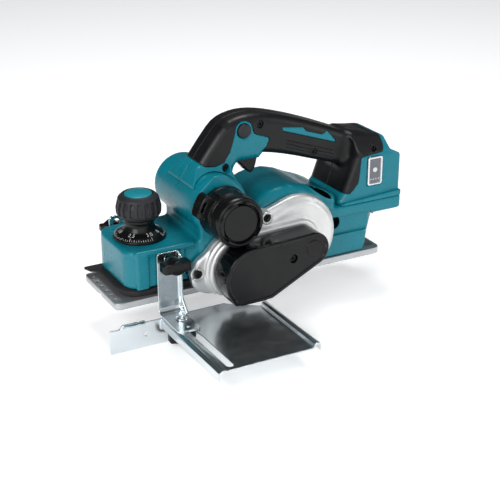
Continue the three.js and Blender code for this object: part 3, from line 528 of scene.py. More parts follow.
def main_housing():
    g = Grid((-161, -46, 5), (166, 57, 122), 0.75)
    x, y, z = g
    plan = [(-158, -SIDE, 17), (-60, -SIDE), (-60, SIDE), (-158, SIDE, 17)]
    front = plan_plate(g, plan, 19, 58, 2.5)
    for ridge in (
        block(g, -151, -86, -44, -38, 53.8, 59.3, 2.2),
        block(g, -150, -136, -43.7, -38, 18.6, 59.3, 2.5),
        block(g, -102.5, -97, -43.4, -38, 24, 56, 1.5),
    ):
        front = melt(front, ridge, 1.0)
    tower_side = [(-78.7, 24), (-14, 24), (-14, 62), (-28, 92, 4), (-30, 104, 4), (-78.7, 104)]
    tower = side_plate(g, tower_side, -SIDE, SIDE, 3)
    body = melt(front, tower, 4)
    body = melt(body, bar_y(g, CHUTE, TUBE_R, -41, 55, 5), 1.2)
    body = melt(body, near_wall(g), 3)
    dome = melt(bar_y(g, DOME, DOME_R, -SIDE, SIDE, 13), shoulder(g), 6)
    body = melt(body, melt(dome, rear_body(g), 1.5), 3)
    body = melt(body, np.maximum(air_vent(x, y, z, 1.3), dome - 0.7), 0.8)

    cuts = [
        block(g, -148, -91, -34, 34, 10, 54.5, 2),
        bar_z(g, (KNOB_X, 0), 6, 40, 70),
        bar_y(g, DRUM, 37, -60, 60),
        block(g, -80, -8, -60, 60, -1, 30),
        block(g, -30, 200, -60, 60, -20, 7.3),
        block(g, -78, -34, -34, 34, 55, 92, 2),
        bar_y(g, CHUTE, TUBE_BORE, -36, 80),
        bar_y(g, OUTLET, MOUTH_R, -60, -30),
        bar_y(g, MOTOR, 33, -60, 39),
        bar_y(g, MOTOR, 29, 30, 60),
        block(g, 50, 112, -37, 37, 11, 59, 2),
        block(g, 104, 147, -30, 30, 52, 70),
        bar_y(g, STUD, 3.3, -50, -30),
        bar_y(g, GUIDE, 3.3, 30, 50),
        bar_y(g, (81, 45), 7, -50, -35),
        air_vent(x, y, z),
    ]
    cuts += [block(g, -100 + 3 * i, -90 + 2 * i, -50, -30, 30 - 5 * i, 32.2 - 5 * i, 0.8) for i in range(3)]
    cuts += [block(g, 78 + 8 * i, 82 + 8 * i, 36, 50, 20, 48, 1.5) for i in range(4)]
    cuts += [bar_y(g, at, 2.8, -50, -30) for at in LUGS]
    body = carve(body, cuts, 0.5)

    def in_shade(at):
        return air_vent(at[:, 0], at[:, 1], at[:, 2], 0.2) < 0

    piece("main_housing_skin", g, body, "body", TEAL, "housing_teal", ["main_housing"],
          patch=(BLACK, in_shade))


# -------- handle
def battery_block(g):
    """The block over the battery bay: its front wall leans back and the corners beside it are cut off."""
    x, y, z = g
    front = [(86, FOOT_Z), (88.5, 67, 3), (94.5, 74, 10), (109, 112, 20), (111, 126)]
    back = [(108, 135, 3), (149.5, 129, 4), (152, 115.5, 4), (REAR_X, 109.5, 3), (REAR_X, FOOT_Z)]
    body = side_plate(g, front + back, -BLOCK_HALF, BLOCK_HALF, 2.5)
    lean = x - np.interp(z, [p[1] for p in front], [p[0] for p in front])
    body = meet(body, (np.abs(y) - BLOCK_HALF - lean) * 0.707 + 4.5, 4)
    crown = (np.abs(y) - 24.5) * 0.76 + (z - 130) * 0.65
    return dig(body, np.maximum(-crown, x - 156), 3)


def handle_field(g):
    """The two handle shells as one: the arched grip, its feet and the battery block."""
    x, y, z = g
    arch = [(-77, 100), (-70, 122), *smooth_path(CREST, 24), (126, 98), (100, 100.7)]
    arch += [*smooth_path(UNDERSIDE, 8), (3, 123, 2), (-22, 123.5, 3), (-26, 118), (-30, 100)]
    grip = side_plate(g, arch, -GRIP_HALF, GRIP_HALF, 9)
    whole = melt(battery_block(g), grip, 9)
    foot = outline(x, z, [(-76, 96), (-81, 106), (-79.6, 111), (-70.5, 126), (-34, 125), (-28, 94)])
    foot = np.maximum(foot, (np.abs(y) - 18 - (124.8 - z) * 0.72) * 0.81)
    whole = melt(whole, np.maximum(meet(foot, np.abs(y) - 32.7, 1), 92 - z), 3)
    flange = outline(x, z, [(87, FOOT_Z), (95, 66), (160, 69.2), (REAR_X, 69.2), (REAR_X, FOOT_Z)])
    whole = melt(whole, slab(flange, y, -SIDE, SIDE, 0.8), 0.3)
    whole = meet(whole, FOOT_Z - z, 0.3)
    grooves = [np.maximum(np.abs(z - 139.4 + 0.351 * (x - 31) + 4 * i) * 0.94 - 0.7, np.abs(x - 61) - 29)
               for i in range(3)]
    cuts = [slab(groove, y, -25, -GRIP_HALF + 1.1) for groove in grooves]
    room = [(104, 55), (104, 88, 2), (112.5, 110, 2), (147, 110, 2), (147, 55)]
    cuts += [
        side_plate(g, room, -34, 34, 2),
        shoulder(g) - 0.3,
        bar_y(g, CHUTE, TUBE_R + 0.3, -42, 42),
        bar_y(g, DOME, DOME_R + 0.3, -60, 60),
        bar_y(g, LOCK, 7.7, -40, 40),
        block(g, -27, 8, -7.5, 7.5, 100, 138, 1),
        block(g, 153, 172, -31, 31, 67, 140, 1.5),
        block(g, 121.2, 140.3, -45, -36.6, 79.2, 111.6),
        block(g, -25, -19, -12, 12, 125.7, 130.3),
    ]
    for sx, sz, sy in HANDLE_SCREWS:
        cuts.append(bar_y(g, (sx, sz), 4.3, -60, sy + 4, 0.5))
        cuts.append(bar_y(g, (sx, sz), 2, -60, -sy - 6))
    hollow = [
        (-44, 140), (-33, 156), (-18, 164), (-3, 165.5), (18, 162), (46, 153), (77, 141.5), (106, 128),
        (106, 108), (66, 118), (45, 124.5), (22, 131), (5, 134), (-24, 134), (-34, 122),
    ]
    cuts.append(side_plate(g, hollow, -14, 14))
    whole = carve(whole, cuts, 0.5)
    for low in (-32, 26):
        rail = block(g, 160.5, 163.8, low, low + 6, 66, 108, 1)
        whole = melt(whole, rail)
    return whole


def overmould(g):
    """Where the soft black skin lies, as a side outline that is below zero inside."""
    x, z = g.x, g.z
    edge = [
        (-90, 146), (-70.7, 132.5), (-61, 125.4, 5), (-50, 124, 6), (-39.6, 126.5, 4), (-33, 136, 6),
        (-29, 148), (-24, 166.3, 9), (-9, 166.3, 9), (-5.7, 151.6, 6), (13.2, 144.7, 3), (9, 136, 4),
        (3.8, 129, 3), (3.8, 100), (60, 96), (86, 74), (101.5, 73.5, 2), (111, 84.6, 6), (114.5, 112, 4),
        (122.7, 113, 4), (141.5, 114.6, 4), (144.5, 121, 3), (144.5, 145), (130, 190), (-90, 190),
    ]
    skin = dig(outline(x, z, edge), disc(x, z, LOCK, 9.8))
    stripe = [
        (27, 153.6, 0.6), (52.5, 149.9, 1), (56.5, 145.2, 1), (75.5, 138.6, 1), (82.5, 141.4, 1),
        (95.1, 126.9, 1), (60, 139, 8), (29, 149.6, 0.6),
    ]
    return dig(skin, outline(x, z, stripe))


def handle():
    for side, word in ((-1, "left"), (1, "right")):
        g = Grid((-80, min(40 * side, 0), 55), (167, max(40 * side, 0), 173), 0.7)
        whole = handle_field(g)
        skin = overmould(g)
        half = SEAM - side * g.y
        shell = dig(whole, np.maximum(skin, -(whole + 1.3)), 0.3)
        soft = meet(np.maximum(whole - 0.35, -(whole + 1.1)), skin + 0.25, 0.3)
        name = "handle_shell_" + word
        piece(name + "_skin", g, np.maximum(shell, half), "body", TEAL, "housing_teal", [name])
        piece("grip_skin_" + word, g, np.maximum(soft, half), "body", RUBBER, "grip_rubber",
              ["grip_" + word, "rear_grip_" + word])


# -------- casting and belt cover
def drum_frame():
    g = Grid((-101, -64, 1), (75, 53, 92), 0.6)
    x, y, z = g
    hull = melt(run(x, z, DRUM, 39, CASTING_DOME, 45.8), disc(x, z, (-73, 25), 22), 6)
    wall = slab(hull, y, -53.5, -42.8, 3.5)
    ring = melt(disc(x, z, DRUM, 37.2), disc(x, z, LUGS[0], 6.8), 0.5)
    wall = melt(wall, slab(ring, y, -56.2, -44, 1.2), 1.5)
    dome = slab(run(x, z, DRUM, 30, CASTING_DOME, 42.5), y, -58, -44, 7)
    wall = melt(wall, dome, 3)
    wall = melt(wall, slab(run(x, z, DRUM, 35.2, MOTOR, 21.5), y, -62, -44, 2), 6)
    groove = np.abs(disc(x, z, DRUM, 36.8)) + np.abs(y + 58.5) * 0.5 - 1.2
    wall = dig(wall, groove + np.maximum(x + 40, 0), 0.6)
    wall = melt(wall, slab(disc(x, z, LUGS[1], 6.6), y, -58.5, -42.8, 1.2), 1)
    ring = bar_y(g, DRUM, 36.4, -44, 52)
    inner = bar_y(g, DRUM, 31.5, -45, 44)
    bridge = block(g, -90, -40, -60, 60, -10, 80)
    under = block(g, -90, 0, -60, 60, -10, 12)
    arch = dig(dig(dig(ring, inner), bridge), under)
    far = slab(disc(x, z, DRUM, 36.4), y, 42.3, 52, 3)
    far = dig(far, slab(np.abs(disc(x, z, DRUM, 22)) - 6.5, y, 50.6, 60, 0.5), 0.8)
    for turn in range(4):
        spoke = math.radians(45 + 90 * turn)
        at = (DRUM[0] + 22 * math.cos(spoke), DRUM[1] + 22 * math.sin(spoke))
        far = melt(far, slab(run(x, z, DRUM, 2, at, 2), y, 48, 51.8, 0.6), 1)
    far = dig(far, block(g, -90, 0, 40, 60, -12, 12))
    body = melt(wall, melt(arch, far))
    cuts = [
        slab(run(x, z, DRUM, 26, MOTOR, 14.5), y, -63, -50),
        block(g, -130, 100, -70, -40, -40, 3),
        bar_y(g, DRUM, 13.3, -51, -42),
        bar_y(g, DRUM, 13.3, 42, 50.5),
        bar_y(g, MOTOR, 11.3, -51, -42),
        bar_y(g, OUTLET, 27.3, -70, -42),
        bar_y(g, COVER_SCREW, 2.3, -70, -48),
        block(g, -106, -89, -70, -52.4, 25.3, 35.5, 1.5),
    ]
    for lug in LUGS:
        cuts += [bar_y(g, lug, 2.8, -70, -40), bar_y(g, lug, 4.3, -70, -52.6)]
    body = carve(body, cuts, 0.7)
    piece("drum_frame_casting", g, body, "body", CAST, "cast_aluminium", ["drum_frame"])


def cover_outline(x, z):
    """The belt cover seen from the side: round both pulleys, squared off at the bottom."""
    foot = [(-72, 20), (-64.6, 1.2, 3), (-23.5, 0.6, 3), (32.5, 28.2), (0, 45)]
    return meet(np.minimum(run(x, z, DRUM, COVER_R[0], MOTOR, COVER_R[1]), outline(x, z, foot)), 0.4 - z, 2)


def belt_cover():
    g = Grid((-77, -90, -1), (46, -61, 65), 0.45)
    x, y, z = g
    hull = cover_outline(x, z)
    body = slab(hull, y, -89, -62.3, 1.3)
    room = meet(run(x, z, DRUM, COVER_R[0] - WALL, MOTOR, COVER_R[1] - WALL), 2.9 - z, 6)
    body = dig(body, slab(room, y, -86.5, -60), 0.5)
    face = np.maximum(hull + 3.1 + (y + 89) * 0.9, y + 87.9)
    boss_at = (MOTOR[0] + 0.5, MOTOR[1] + 1.5)
    body = melt(dig(body, face, 0.3), slab(disc(x, z, boss_at, 8.6), y, -88.9, -85.5, 0.5), 0.2)
    body = melt(body, bar_y(g, COVER_SCREW, 6, -86, -62.3), 1)
    for radius, inner in ((4.6, -81.6), (2.3, -60)):
        body = dig(body, bar_y(g, COVER_SCREW, radius, -95, inner), 0.4)

    def on_face(at):
        near_screw = np.hypot(at[:, 0] - COVER_SCREW[0], at[:, 2] - COVER_SCREW[1]) < 5
        inside = cover_outline(at[:, 0], at[:, 2]) < -4.0
        return (at[:, 1] < -87.2) & ~near_screw & inside

    piece("belt_cover_moulding", g, body, "body", GLOSS, "black_gloss_plastic", ["belt_cover"],
          patch=(FACE, on_face))


# -------- chip outlet
def outlet_collar():
    cx, cz = OUTLET
    g = Grid((cx - 41, -66, cz - 29), (cx + 29, -41, cz + 36), 0.45)
    x, y, z = g
    radius = disc(x, z, OUTLET)
    angle = np.degrees(np.arctan2(z - cz, x - cx)) % 360
    ring = melt(bar_y(g, OUTLET, 26, -64, -41.8, 1.2), bar_y(g, OUTLET, 26.8, -47, -43, 0.8), 0.6)
    lever = meet(radius - 38.5, (np.abs(angle - 153) - 21) * 0.6, 5)
    ring = melt(ring, slab(lever, y, -63, -47.5, 2), 1.5)
    rib = slab(np.maximum(np.abs(angle - 117) * 0.5 - 1.2, radius - 27.4), y, -64, -44, 0.8)
    ring = melt(ring, rib, 0.6)
    slot = slab(np.maximum(np.abs(radius - 34.6) - 1.3, (np.abs(angle - 153) - 9) * 0.6), y, -66, -40, 0.6)
    ring = carve(ring, (slab(radius - 23, y, -70, -40), slot), 0.4)
    piece("outlet_collar_moulding", g, ring, "outlet", BLACK, "black_plastic", ["outlet_collar"])


def outlet_cap():
    cx, cz = OUTLET
    g = Grid((cx - 28, -86, cz - 28), (cx + 28, -63.5, cz + 28), 0.36)
    x, y, z = g
    radius = disc(x, z, OUTLET)
    profile = [
        (0, -82), (18.4, -82, 0.5), (18.8, -79.5), (19.8, -79.5), (20.2, -84.2, 0.5), (21.6, -84.9, 0.6),
        (23, -83.8, 0.6), (23.4, -81.6), (25, -81.2, 0.8), (25.8, -79, 0.8), (26.2, -70, 1),
        (26.2, -68.5, 0.3), (25.6, -68.2), (25.6, -66.8), (26.2, -66.5, 0.3), (26.2, -64.3), (21, -64.3),
        (21, -77), (0, -77),
    ]
    cap = turned(radius, y, profile)
    angle = np.arctan2(z - cz, x - cx)
    for degrees in (-147, -32, 90):
        away = np.abs((angle - math.radians(degrees) + math.pi) % (2 * math.pi) - math.pi) * radius
        cap = dig(cap, np.maximum(np.maximum(away - 4.5, np.abs(radius - 20.9) - 1.7), y + 78.5), 0.4)
    count = 72
    flute = (angle * count / (2 * math.pi) % 1 - 0.5) * 2 * math.pi * 26.3 / count
    scallop = np.sqrt(flute**2 + (radius - 26.5) ** 2) - 0.6
    cap = dig(cap, np.maximum(np.maximum(scallop, y + 71), -78 - y), 0.3)

    def on_disc(at):
        return (np.hypot(at[:, 0] - cx, at[:, 2] - cz) < 18.2) & (at[:, 1] < -81)

    piece("outlet_cap_moulding", g, cap, "outlet", BLACK, "black_plastic", ["outlet_cap"],
          patch=(FACE, on_disc))


# -------- depth knob and dial
def dial_height(radius):
    """The height of the dial's sloping face at a distance from its middle."""
    return np.interp(radius, (15.4, 17, 23, 26.6), (68.2, 66.8, 63.8, 60.6))


def depth_dial():
    g = Grid((KNOB_X - 29, -29, 58), (KNOB_X + 29, 29, 79), 0.4)
    profile = [
        (0, 58.3), (26.9, 58.3, 0.4), (26.9, 60.4, 0.8), (23, 63.8, 3), (17, 66.8, 3), (14.6, 72, 4),
        (15.4, 78.7, 0.4), (0, 78.7),
    ]
    radius = disc(g.x, g.y, (KNOB_X, 0))
    dial = turned(radius, g.z, profile)
    dial = melt(dial, turned(radius, g.z, [(13, 75.5), (16.2, 76), (16.2, 78.4), (13, 78.6)]), 0.6)
    dial = dig(dial, bar_z(g, (KNOB_X, 0), 5.3, 50, 90), 0.3)
    piece("depth_dial_moulding", g, dial, "depth_adjuster", BLACK, "black_gloss_plastic", ["depth_dial"])


def depth_knob():
    g = Grid((KNOB_X - 25, -25, 78), (KNOB_X + 25, 25, 105), 0.35)
    x, y, z = g
    radius = disc(x, y, (KNOB_X, 0))
    profile = [
        (0, 79), (16.2, 79, 0.5), (20, 80.4, 3), (22.8, 84.5, 4), (23, 91, 6), (20.6, 100.6, 4),
        (16.5, 104.2, 2), (14.6, 103.8, 0.5), (14.4, 101, 0.4), (0, 101),
    ]
    knob = turned(radius, z, profile)
    count = 18
    fold = (np.arctan2(y, x - KNOB_X) * count / (2 * math.pi)) % 1 - 0.5
    across = np.abs(fold) * 2 * math.pi / count * radius
    width = 2.3 - 0.035 * np.abs(z - 89)
    past_side, past_end = np.maximum(across - width + 1.6, 0), np.maximum(np.abs(z - 91.8) - 5.6, 0)
    flute = np.sqrt(past_side**2 + past_end**2) - 1.6
    floor = radius - np.interp(z, (84, 88, 93, 99), (21.2, 21.3, 20.8, 18.4))
    knob = dig(knob, np.maximum(flute, -floor), 0.9)
    knob = dig(knob, bar_z(g, (KNOB_X, 0), 5.3, 70, 94), 0.3)
    piece("depth_knob_rubber", g, knob, "depth_adjuster", KNOB_RUBBER, "grip_rubber", ["depth_knob"])

    g = Grid((KNOB_X - 15, -15, 100), (KNOB_X + 15, 15, 107), 0.35)
    profile = [(0, 101.3), (14, 101.3), (14, 104.2, 0.6), (9, 105.2, 9), (4, 105.6, 9), (0, 105.6)]
    cap = turned(disc(g.x, g.y, (KNOB_X, 0)), g.z, profile)
    piece("knob_cap_moulding", g, cap, "depth_adjuster", TEAL_CAP, "housing_teal", ["knob_cap"])


def dial_marks():
    """Tick lines and plain numbers, a hair above the dial's slope: half a millimetre of cut is 54 degrees."""
    turn = math.radians(54)
    start = math.radians(-47)
    verts, faces = [], []

    def lay(points, polygons, middle, mid_radius):
        base = len(verts)
        for across, up in points:
            radius = mid_radius - up
            angle = middle + across / mid_radius
            height = float(dial_height(radius)) + 0.12
            east, north = radius * math.cos(angle), radius * math.sin(angle)
            verts.append(((KNOB_X + east) * MM, north * MM, height * MM))
        faces.extend([tuple(base + i for i in polygon) for polygon in polygons])

    for k in range(61):
        long = k % 10 == 0
        half, low, high = (0.2, -1.4, 1.3) if long else (0.15, -1.4, 0.4 if k % 2 == 0 else -0.2)
        steps = [(low + (high - low) * s / 4) for s in range(5)]
        points = [(side * half, up) for up in steps for side in (-1, 1)]
        polygons = [(2 * s, 2 * s + 1, 2 * s + 3, 2 * s + 2) for s in range(4)]
        lay(points, polygons, start + turn * k / 10, 24.4)
    for k in range(7):
        curve = bpy.data.curves.new("number", "FONT")
        curve.body = "0" if k == 0 else f"{k / 2:.1f}"
        curve.size = 5.6
        curve.offset = -0.04
        curve.align_x = "CENTER"
        curve.align_y = "CENTER"
        curve.space_character = 1.05
        text = added("number", curve)
        bpy.context.view_layer.update()
        flat = bpy.data.meshes.new_from_object(text.evaluated_get(bpy.context.evaluated_depsgraph_get()))
        polygons = [tuple(p.vertices) for p in flat.polygons]
        lay([v.co[:2] for v in flat.vertices], polygons, start + turn * k, 19.7)
        bpy.data.objects.remove(text)
        bpy.data.meshes.remove(flat)
        bpy.data.curves.remove(curve)
    mesh = bpy.data.meshes.new("dial_marks")
    mesh.from_pydata(verts, [], faces)
    obj = added("dial_marks", mesh)
    thick = obj.modifiers.new("thick", "SOLIDIFY")
    thick.thickness = 0.2 * MM
    thick.offset = -1
    mesh.materials.append(PRINT)
    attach(obj, "depth_adjuster")


# -------- wing knobs
def wing_knob(span, thick, along, hub, wing, reach, thickness, pinch=0.62):
    """A hub and a blade. hub is its radius and its ends along the axis, and wing the blade's ends. reach and
    thickness are the blade's half sizes, and pinch is the share of its thickness left at the hub."""
    radius = np.sqrt(span**2 + thick**2)
    wide, low, high = hub
    middle = turned(radius, along, [(0, low), (wide, low, 1.2), (wide * 0.95, high, 1.2), (0, high)])
    plan = [(-reach, wing[0], 4), (reach, wing[0], 4), (reach, wing[1], 4), (-reach, wing[1], 4)]
    half = thickness * (pinch + (1 - pinch) * np.minimum(np.abs(span) / reach, 1) ** 2)
    flat = outline(span, along, plan)
    q, w = flat + 2, np.abs(thick) - half + 2
    blade = np.minimum(np.maximum(q, w), 0) + np.sqrt(np.maximum(q, 0) ** 2 + np.maximum(w, 0) ** 2) - 2
    return melt(middle, blade, 3)


def fence_knob():
    bx, by = BOLT
    g = Grid((bx - 16, by - 9, -35), (bx + 16, by + 9, -15), 0.45)
    field = wing_knob(g.x - bx, g.y - by, g.z, (8, -34, -16), (-34, -19), 14.5, 4)
    field = dig(field, bar_z(g, BOLT, 3.3, -31, -10), 0.3)
    piece("fence_knob_moulding", g, field, "fence_clamp_knob", BLACK, "black_plastic", ["fence_knob"])


def side_knob(word, centre, reach, ends, bore, hub, wing, thickness, pinch):
    """A thumb screw whose axis runs along Y."""
    cx, cz = centre
    g = Grid((cx - reach[0], ends[0], cz - 9), (cx + reach[0], ends[1], cz + 9), 0.45)
    field = wing_knob(g.x - cx, g.z - cz, g.y, hub, wing, reach[1], thickness, pinch)
    field = dig(field, bar_y(g, centre, 3.3, *bore), 0.3)
    piece(f"{word}_knob_moulding", g, field, f"{word}_clamp_knob", BLACK, "black_plastic", [f"{word}_knob"])


def side_knobs():
    side_knob("bracket", STUD, (17, 15), (-70, -51), (-66, -45), (7.6, -68.5, -51.5), (-69, -53.5), 5.2, 0.9)
    side_knob("guide", GUIDE, (15, 13.5), (47, 63), (40, 58.5), (7.2, 47.5, 61.5), (50, 62), 4, 0.62)


# -------- edge fence
def bent_sheet(g, path, half, front, foot):
    """A strip bent along path, cut to one outline seen from the side and to another seen from above."""
    sheet = strand(g.y, g.z, path, half)
    return np.maximum(np.maximum(sheet, outline(g.x, g.z, front)), outline(g.x, g.y, foot))


def fence_bracket():
    g = Grid((-130, -94, -12), (-102, -42, 56), 0.4)
    x, y, z = g
    path = rounded([(-44.05, 60), (-44.05, -10.25, 7), (-100, -10.25)], 8)
    front = [(-129, -20), (-104.5, -20), (-104.5, 55, 3), (-129, 55, 3)]
    foot = [(-129, -93, 5), (-104.5, -93, 5), (-104.5, -30), (-129, -30)]
    sheet = bent_sheet(g, path, 1.25, front, foot)
    rib = [(-42.8, -10), (-64, -11), (-60, -7, 8), (-49, 5, 12), (-48.6, 50, 2), (-42.8, 52)]
    sheet = melt(sheet, slab(outline(y, z, rib), x, -105.5, -102.9, 0.8), 1.6)
    stud_slot = [(-120.5, 40, 3.9), (-112.5, 40, 3.9), (-112.5, 52.5, 3.9), (-120.5, 52.5, 3.9)]
    sheet = dig(sheet, side_plate(g, stud_slot, -60, -30), 0.4)
    sheet = carve(sheet, (bar_z(g, BOLT, 3.3, -20, 0), bar_z(g, (-116, -86), 1.6, -20, 0)), 0.4)
    piece("fence_bracket_sheet", g, sheet, "body", ZINC, "zinc_plate", ["fence_bracket"])


def fence_plate():
    g = Grid((-186, -179, -40), (-17, -49, -6), 0.5)
    x, y, z = g
    ridges = [
        (-129, -24), (-129, -12.8, 2), (-127.3, -12.8), (-126, -11.7, 0.6), (-124.7, -12.8, 0.6),
        (-123.4, -11.7, 0.6), (-121.5, -12.8), (-28, -12.8, 2), (-26.5, -8.4, 1.5), (-21.8, -8.2, 2),
        (-20, -18),
    ]
    sheet = strand(x, z, rounded(ridges), 1.0)
    sheet = np.maximum(sheet, -22 - z)
    sheet = np.maximum(sheet, -16.3 - z + np.where(x < -100, -10, 0))
    plan = [(-131, -178, 1), (-18, -178, 1), (-18, -74, 2), (-28, -74), (-58, -51.5), (-131, -51.5)]
    table = np.maximum(sheet, outline(x, y, plan))
    face = [
        (-185, -39.5, 2), (-60, -39.5, 2), (-58, -11.8), (-146, -11.8, 1), (-147.5, -9.5, 1),
        (-152.2, -9.5), (-153.7, -11.2, 0.8), (-155.2, -9.5), (-171, -9.5, 1.5), (-174, -13.3, 1.5),
        (-185, -13.3, 2),
    ]
    wall = side_plate(g, face, -52.3, -50.2, 0.5)
    bend = [(-55.5, -11.4), (-50.4, -9.5, 2), (-50.4, -13), (-54, -13)]
    lip = slab(outline(y, z, bend), x, -171, -147, 0.5)
    body = melt(melt(table, wall, 1.5), lip, 0.8)
    slot = [(-117.5, -172, 3.4), (-110.5, -172, 3.4), (-110.5, -62, 3.4), (-117.5, -62, 3.4)]
    body = carve(body, (plan_plate(g, slot, -20, 0), bar_y(g, (-146, -24.5), 2.6, -60, -40)), 0.4)
    piece("fence_plate_sheet", g, body, "fence", ZINC, "zinc_plate", ["fence_plate"])


def fence_bolt():
    bx, by = BOLT
    g = Grid((bx - 7, by - 7, -31), (bx + 7, by + 7, -5.5), 0.3)
    profile = [
        (0, -30.5), (3, -30.5, 0.5), (3, -8.7), (6.5, -8.7, 0.3), (6.3, -7.4, 0.8), (3.4, -6.2, 1),
        (0, -6.2),
    ]
    bolt = turned(disc(g.x, g.y, BOLT), g.z, profile)
    bolt = dig(bolt, slab(disc(g.x, g.y, BOLT, 2.2), g.z, -7.4, 0), 0.4)
    piece("fence_bolt_turned", g, bolt, "body", ZINC, "steel", ["fence_bolt"])


def depth_guide():
    gx = GUIDE[0]
    g = Grid((gx - 9, 42, 11), (gx + 9, 56, 67), 0.4)
    path = rounded([(44, 90), (44, 13, 3.5), (90, 13)], 6)
    flat = [(gx - 8, 12), (gx + 8, 12), (gx + 8, 66, 4), (gx - 8, 66, 4)]
    toe = [(gx - 8, 40), (gx + 8, 40), (gx + 8, 55, 2), (gx - 8, 55, 2)]
    sheet = bent_sheet(g, path, 1.0, flat, toe)
    slot = [(gx - 3.5, 46.5, 3.4), (gx + 3.5, 46.5, 3.4), (gx + 3.5, 63, 3.4), (gx - 3.5, 63, 3.4)]
    sheet = dig(sheet, side_plate(g, slot, 30, 60), 0.4)
    piece("depth_guide_sheet", g, sheet, "rebate_stop", ZINC, "zinc_plate", ["depth_guide"])


# -------- soles and seal
def rear_base():
    g = Grid((-28, -43, -0.5), (141, 43, 7.5), 0.5)
    x, z = g.x, g.z
    plan = [(-27, -42.5), (140.5, -42.5, 9), (140.5, 42.5, 9), (-27, 42.5)]
    body = plan_plate(g, plan, 0, 7, 0.7)
    body = dig(body, (x + 27 - z) * 0.7, 0.3)
    body = dig(body, block(g, 124.5, 136.5, -33, -17, 3, 12, 1), 0.5)
    piece("rear_base_plate", g, body, "body", MACHINED, "machined_aluminium", ["rear_base"])


def front_base():
    g = Grid((-174, -43, 1.5), (-60, 43, 15), 0.5)
    x, y, z = g
    plan = [(-173, -42.5, 6), (-61, -42.5), (-61, 42.5), (-173, 42.5, 6)]
    body = plan_plate(g, plan, 2, 9, 0.8)
    body = dig(body, -(x + 61 + z - 2) * 0.7, 0.3)
    body = melt(body, bar_z(g, (KNOB_X, 0), 10, 8, 14, 1), 1)
    body = dig(body, (np.abs(y) - 4) * 0.6 + (z - 2) * 0.8, 0.4)
    body = dig(body, bar_z(g, (KNOB_X, 0), 5.3, 0, 20), 0.3)
    strip = [(-171, -36, 1), (-164.6, -36, 1), (-164.6, 36, 1), (-171, 36, 1)]
    body = dig(body, plan_plate(g, strip, 8.5, 20), 0.3)
    for i in range(6):
        middle = -30 + 12 * i
        body = dig(body, block(g, -169.6, -166, middle - 2.4, middle + 2.4, 5.4, 12, 0.4), 0.3)
    piece("front_base_plate", g, body, "front_shoe", MACHINED, "machined_aluminium", ["front_base"])


def front_seal():
    g = Grid((-174, -42, 9), (-83, 43, 18), 0.5)
    x, y, z = g
    outer = outline(x, y, [(-163.5, -41.5, 20), (-84, -41.5, 2), (-84, 41.5, 2), (-163.5, 41.5, 20)])
    outer = outer + np.interp(z, (9.3, 16), (5, 0.3))
    inner = outline(x, y, [(-148, -28, 6), (-92, -28, 2), (-92, 28, 2), (-148, 28, 6)])
    tongue = outline(x, y, [(-150, 22), (-170, 31, 1), (-173.5, 41.5, 1), (-146, 41.5), (-144, 30)])
    body = melt(slab(outer, z, 9.3, 17.4, 0.8), slab(tongue, z, 14.6, 17.4, 0.4), 1)
    body = dig(body, slab(inner, z, 0, 30))
    piece("front_seal_foam", g, body, "front_shoe", FOAM, "seal_foam", ["front_seal"])


# -------- small parts on the handle
def trigger():
    g = Grid((-27, -7, 104), (7, 7, 133), 0.35)
    x, y, z = g
    finger = [(-25.5, 124), *smooth_path([(-19.5, 121), (-13, 115), (-7, 108.5), (-2.5, 105.5)], 7),
              *smooth_path([(1.2, 108), (3.6, 114), (5.2, 121)], 5), (5.4, 129.5), (-24, 132)]
    body = slab(outline(x, z, finger), y, -6.5, 6.5, 2.2)
    body = melt(body, bar_y(g, PIVOT, 4, -6.5, 6.5, 1), 0.5)
    for i in range(4):
        body = dig(body, bar_y(g, (-15.5 + 3.1 * i, 117.4 - 3.1 * i), 0.6, -5, 5, 0.4), 0.3)
    body = dig(body, bar_y(g, PIVOT, 1.8, -20, 20), 0.2)
    piece("trigger_moulding", g, body, "trigger", BLACK, "black_plastic", ["trigger"])


def lock_button():
    lx, lz = LOCK
    g = Grid((lx - 8, -23, lz - 8), (lx + 8, 21, lz + 8), 0.35)
    radius = disc(g.x, g.z, LOCK)
    profile = [
        (0, -21.7), (4, -21.4, 6), (7.2, -20.3, 1), (7.2, -13), (3, -13), (3, 13), (7.2, 13),
        (7.2, 18.6, 1), (4, 19.4, 6), (0, 19.6),
    ]
    body = turned(radius, g.y, profile)
    piece("lock_button_moulding", g, body, "lock_button", KNOB_RUBBER, "black_plastic", ["lock_button"])


def indicator():
    x0, x1, z0, z1 = 121.6, 139.9, 79.6, 111.2
    mid = (x0 + x1) / 2
    g = Grid((x0 - 1, -40, z0 - 1), (x1 + 1, -36.5, z1 + 1), 0.3)
    x, y, z = g
    corners = [(x0, z0, 2.5), (x1, z0, 2.5), (x1, z1, 2.5), (x0, z1, 2.5)]
    frame_flat = outline(x, z, corners)
    body = slab(frame_flat, y, -39.6, -36.9, 0.7)
    body = dig(body, slab(frame_flat + 2.1, y, -60, -38.7), 0.4)
    piece("indicator_frame", g, body, "body", FRAME, "panel_grey", ["indicator_panel"])
    body = slab(frame_flat + 2.3, y, -39.0, -38.2, 0.3)
    for i in range(4):
        low = mid - 6 + 3.2 * i
        body = dig(body, block(g, low, low + 2.2, -45, -38.8, z0 + 5.5, z0 + 7.7, 0.3), 0.1)
    ring = np.maximum(disc(x, z, (mid, z0 + 17), 4.6), -disc(x, z, (mid, z0 + 17), 3.9))
    body = dig(body, slab(ring, y, -45, -38.8), 0.1)
    piece("indicator_film", g, body, "body", PANEL, "panel_grey")
    button = slab(disc(x, z, (mid, z0 + 17), 2.7), y, -39.5, -38.4, 0.5)
    for i in range(4):
        button = melt(button, slab(disc(x, z, (mid - 4.9 + 3.2 * i, z0 + 6.6), 0.8), y, -39.1, -38.4, 0.2))
    piece("indicator_button", g, button, "body", PRINT, "panel_grey")


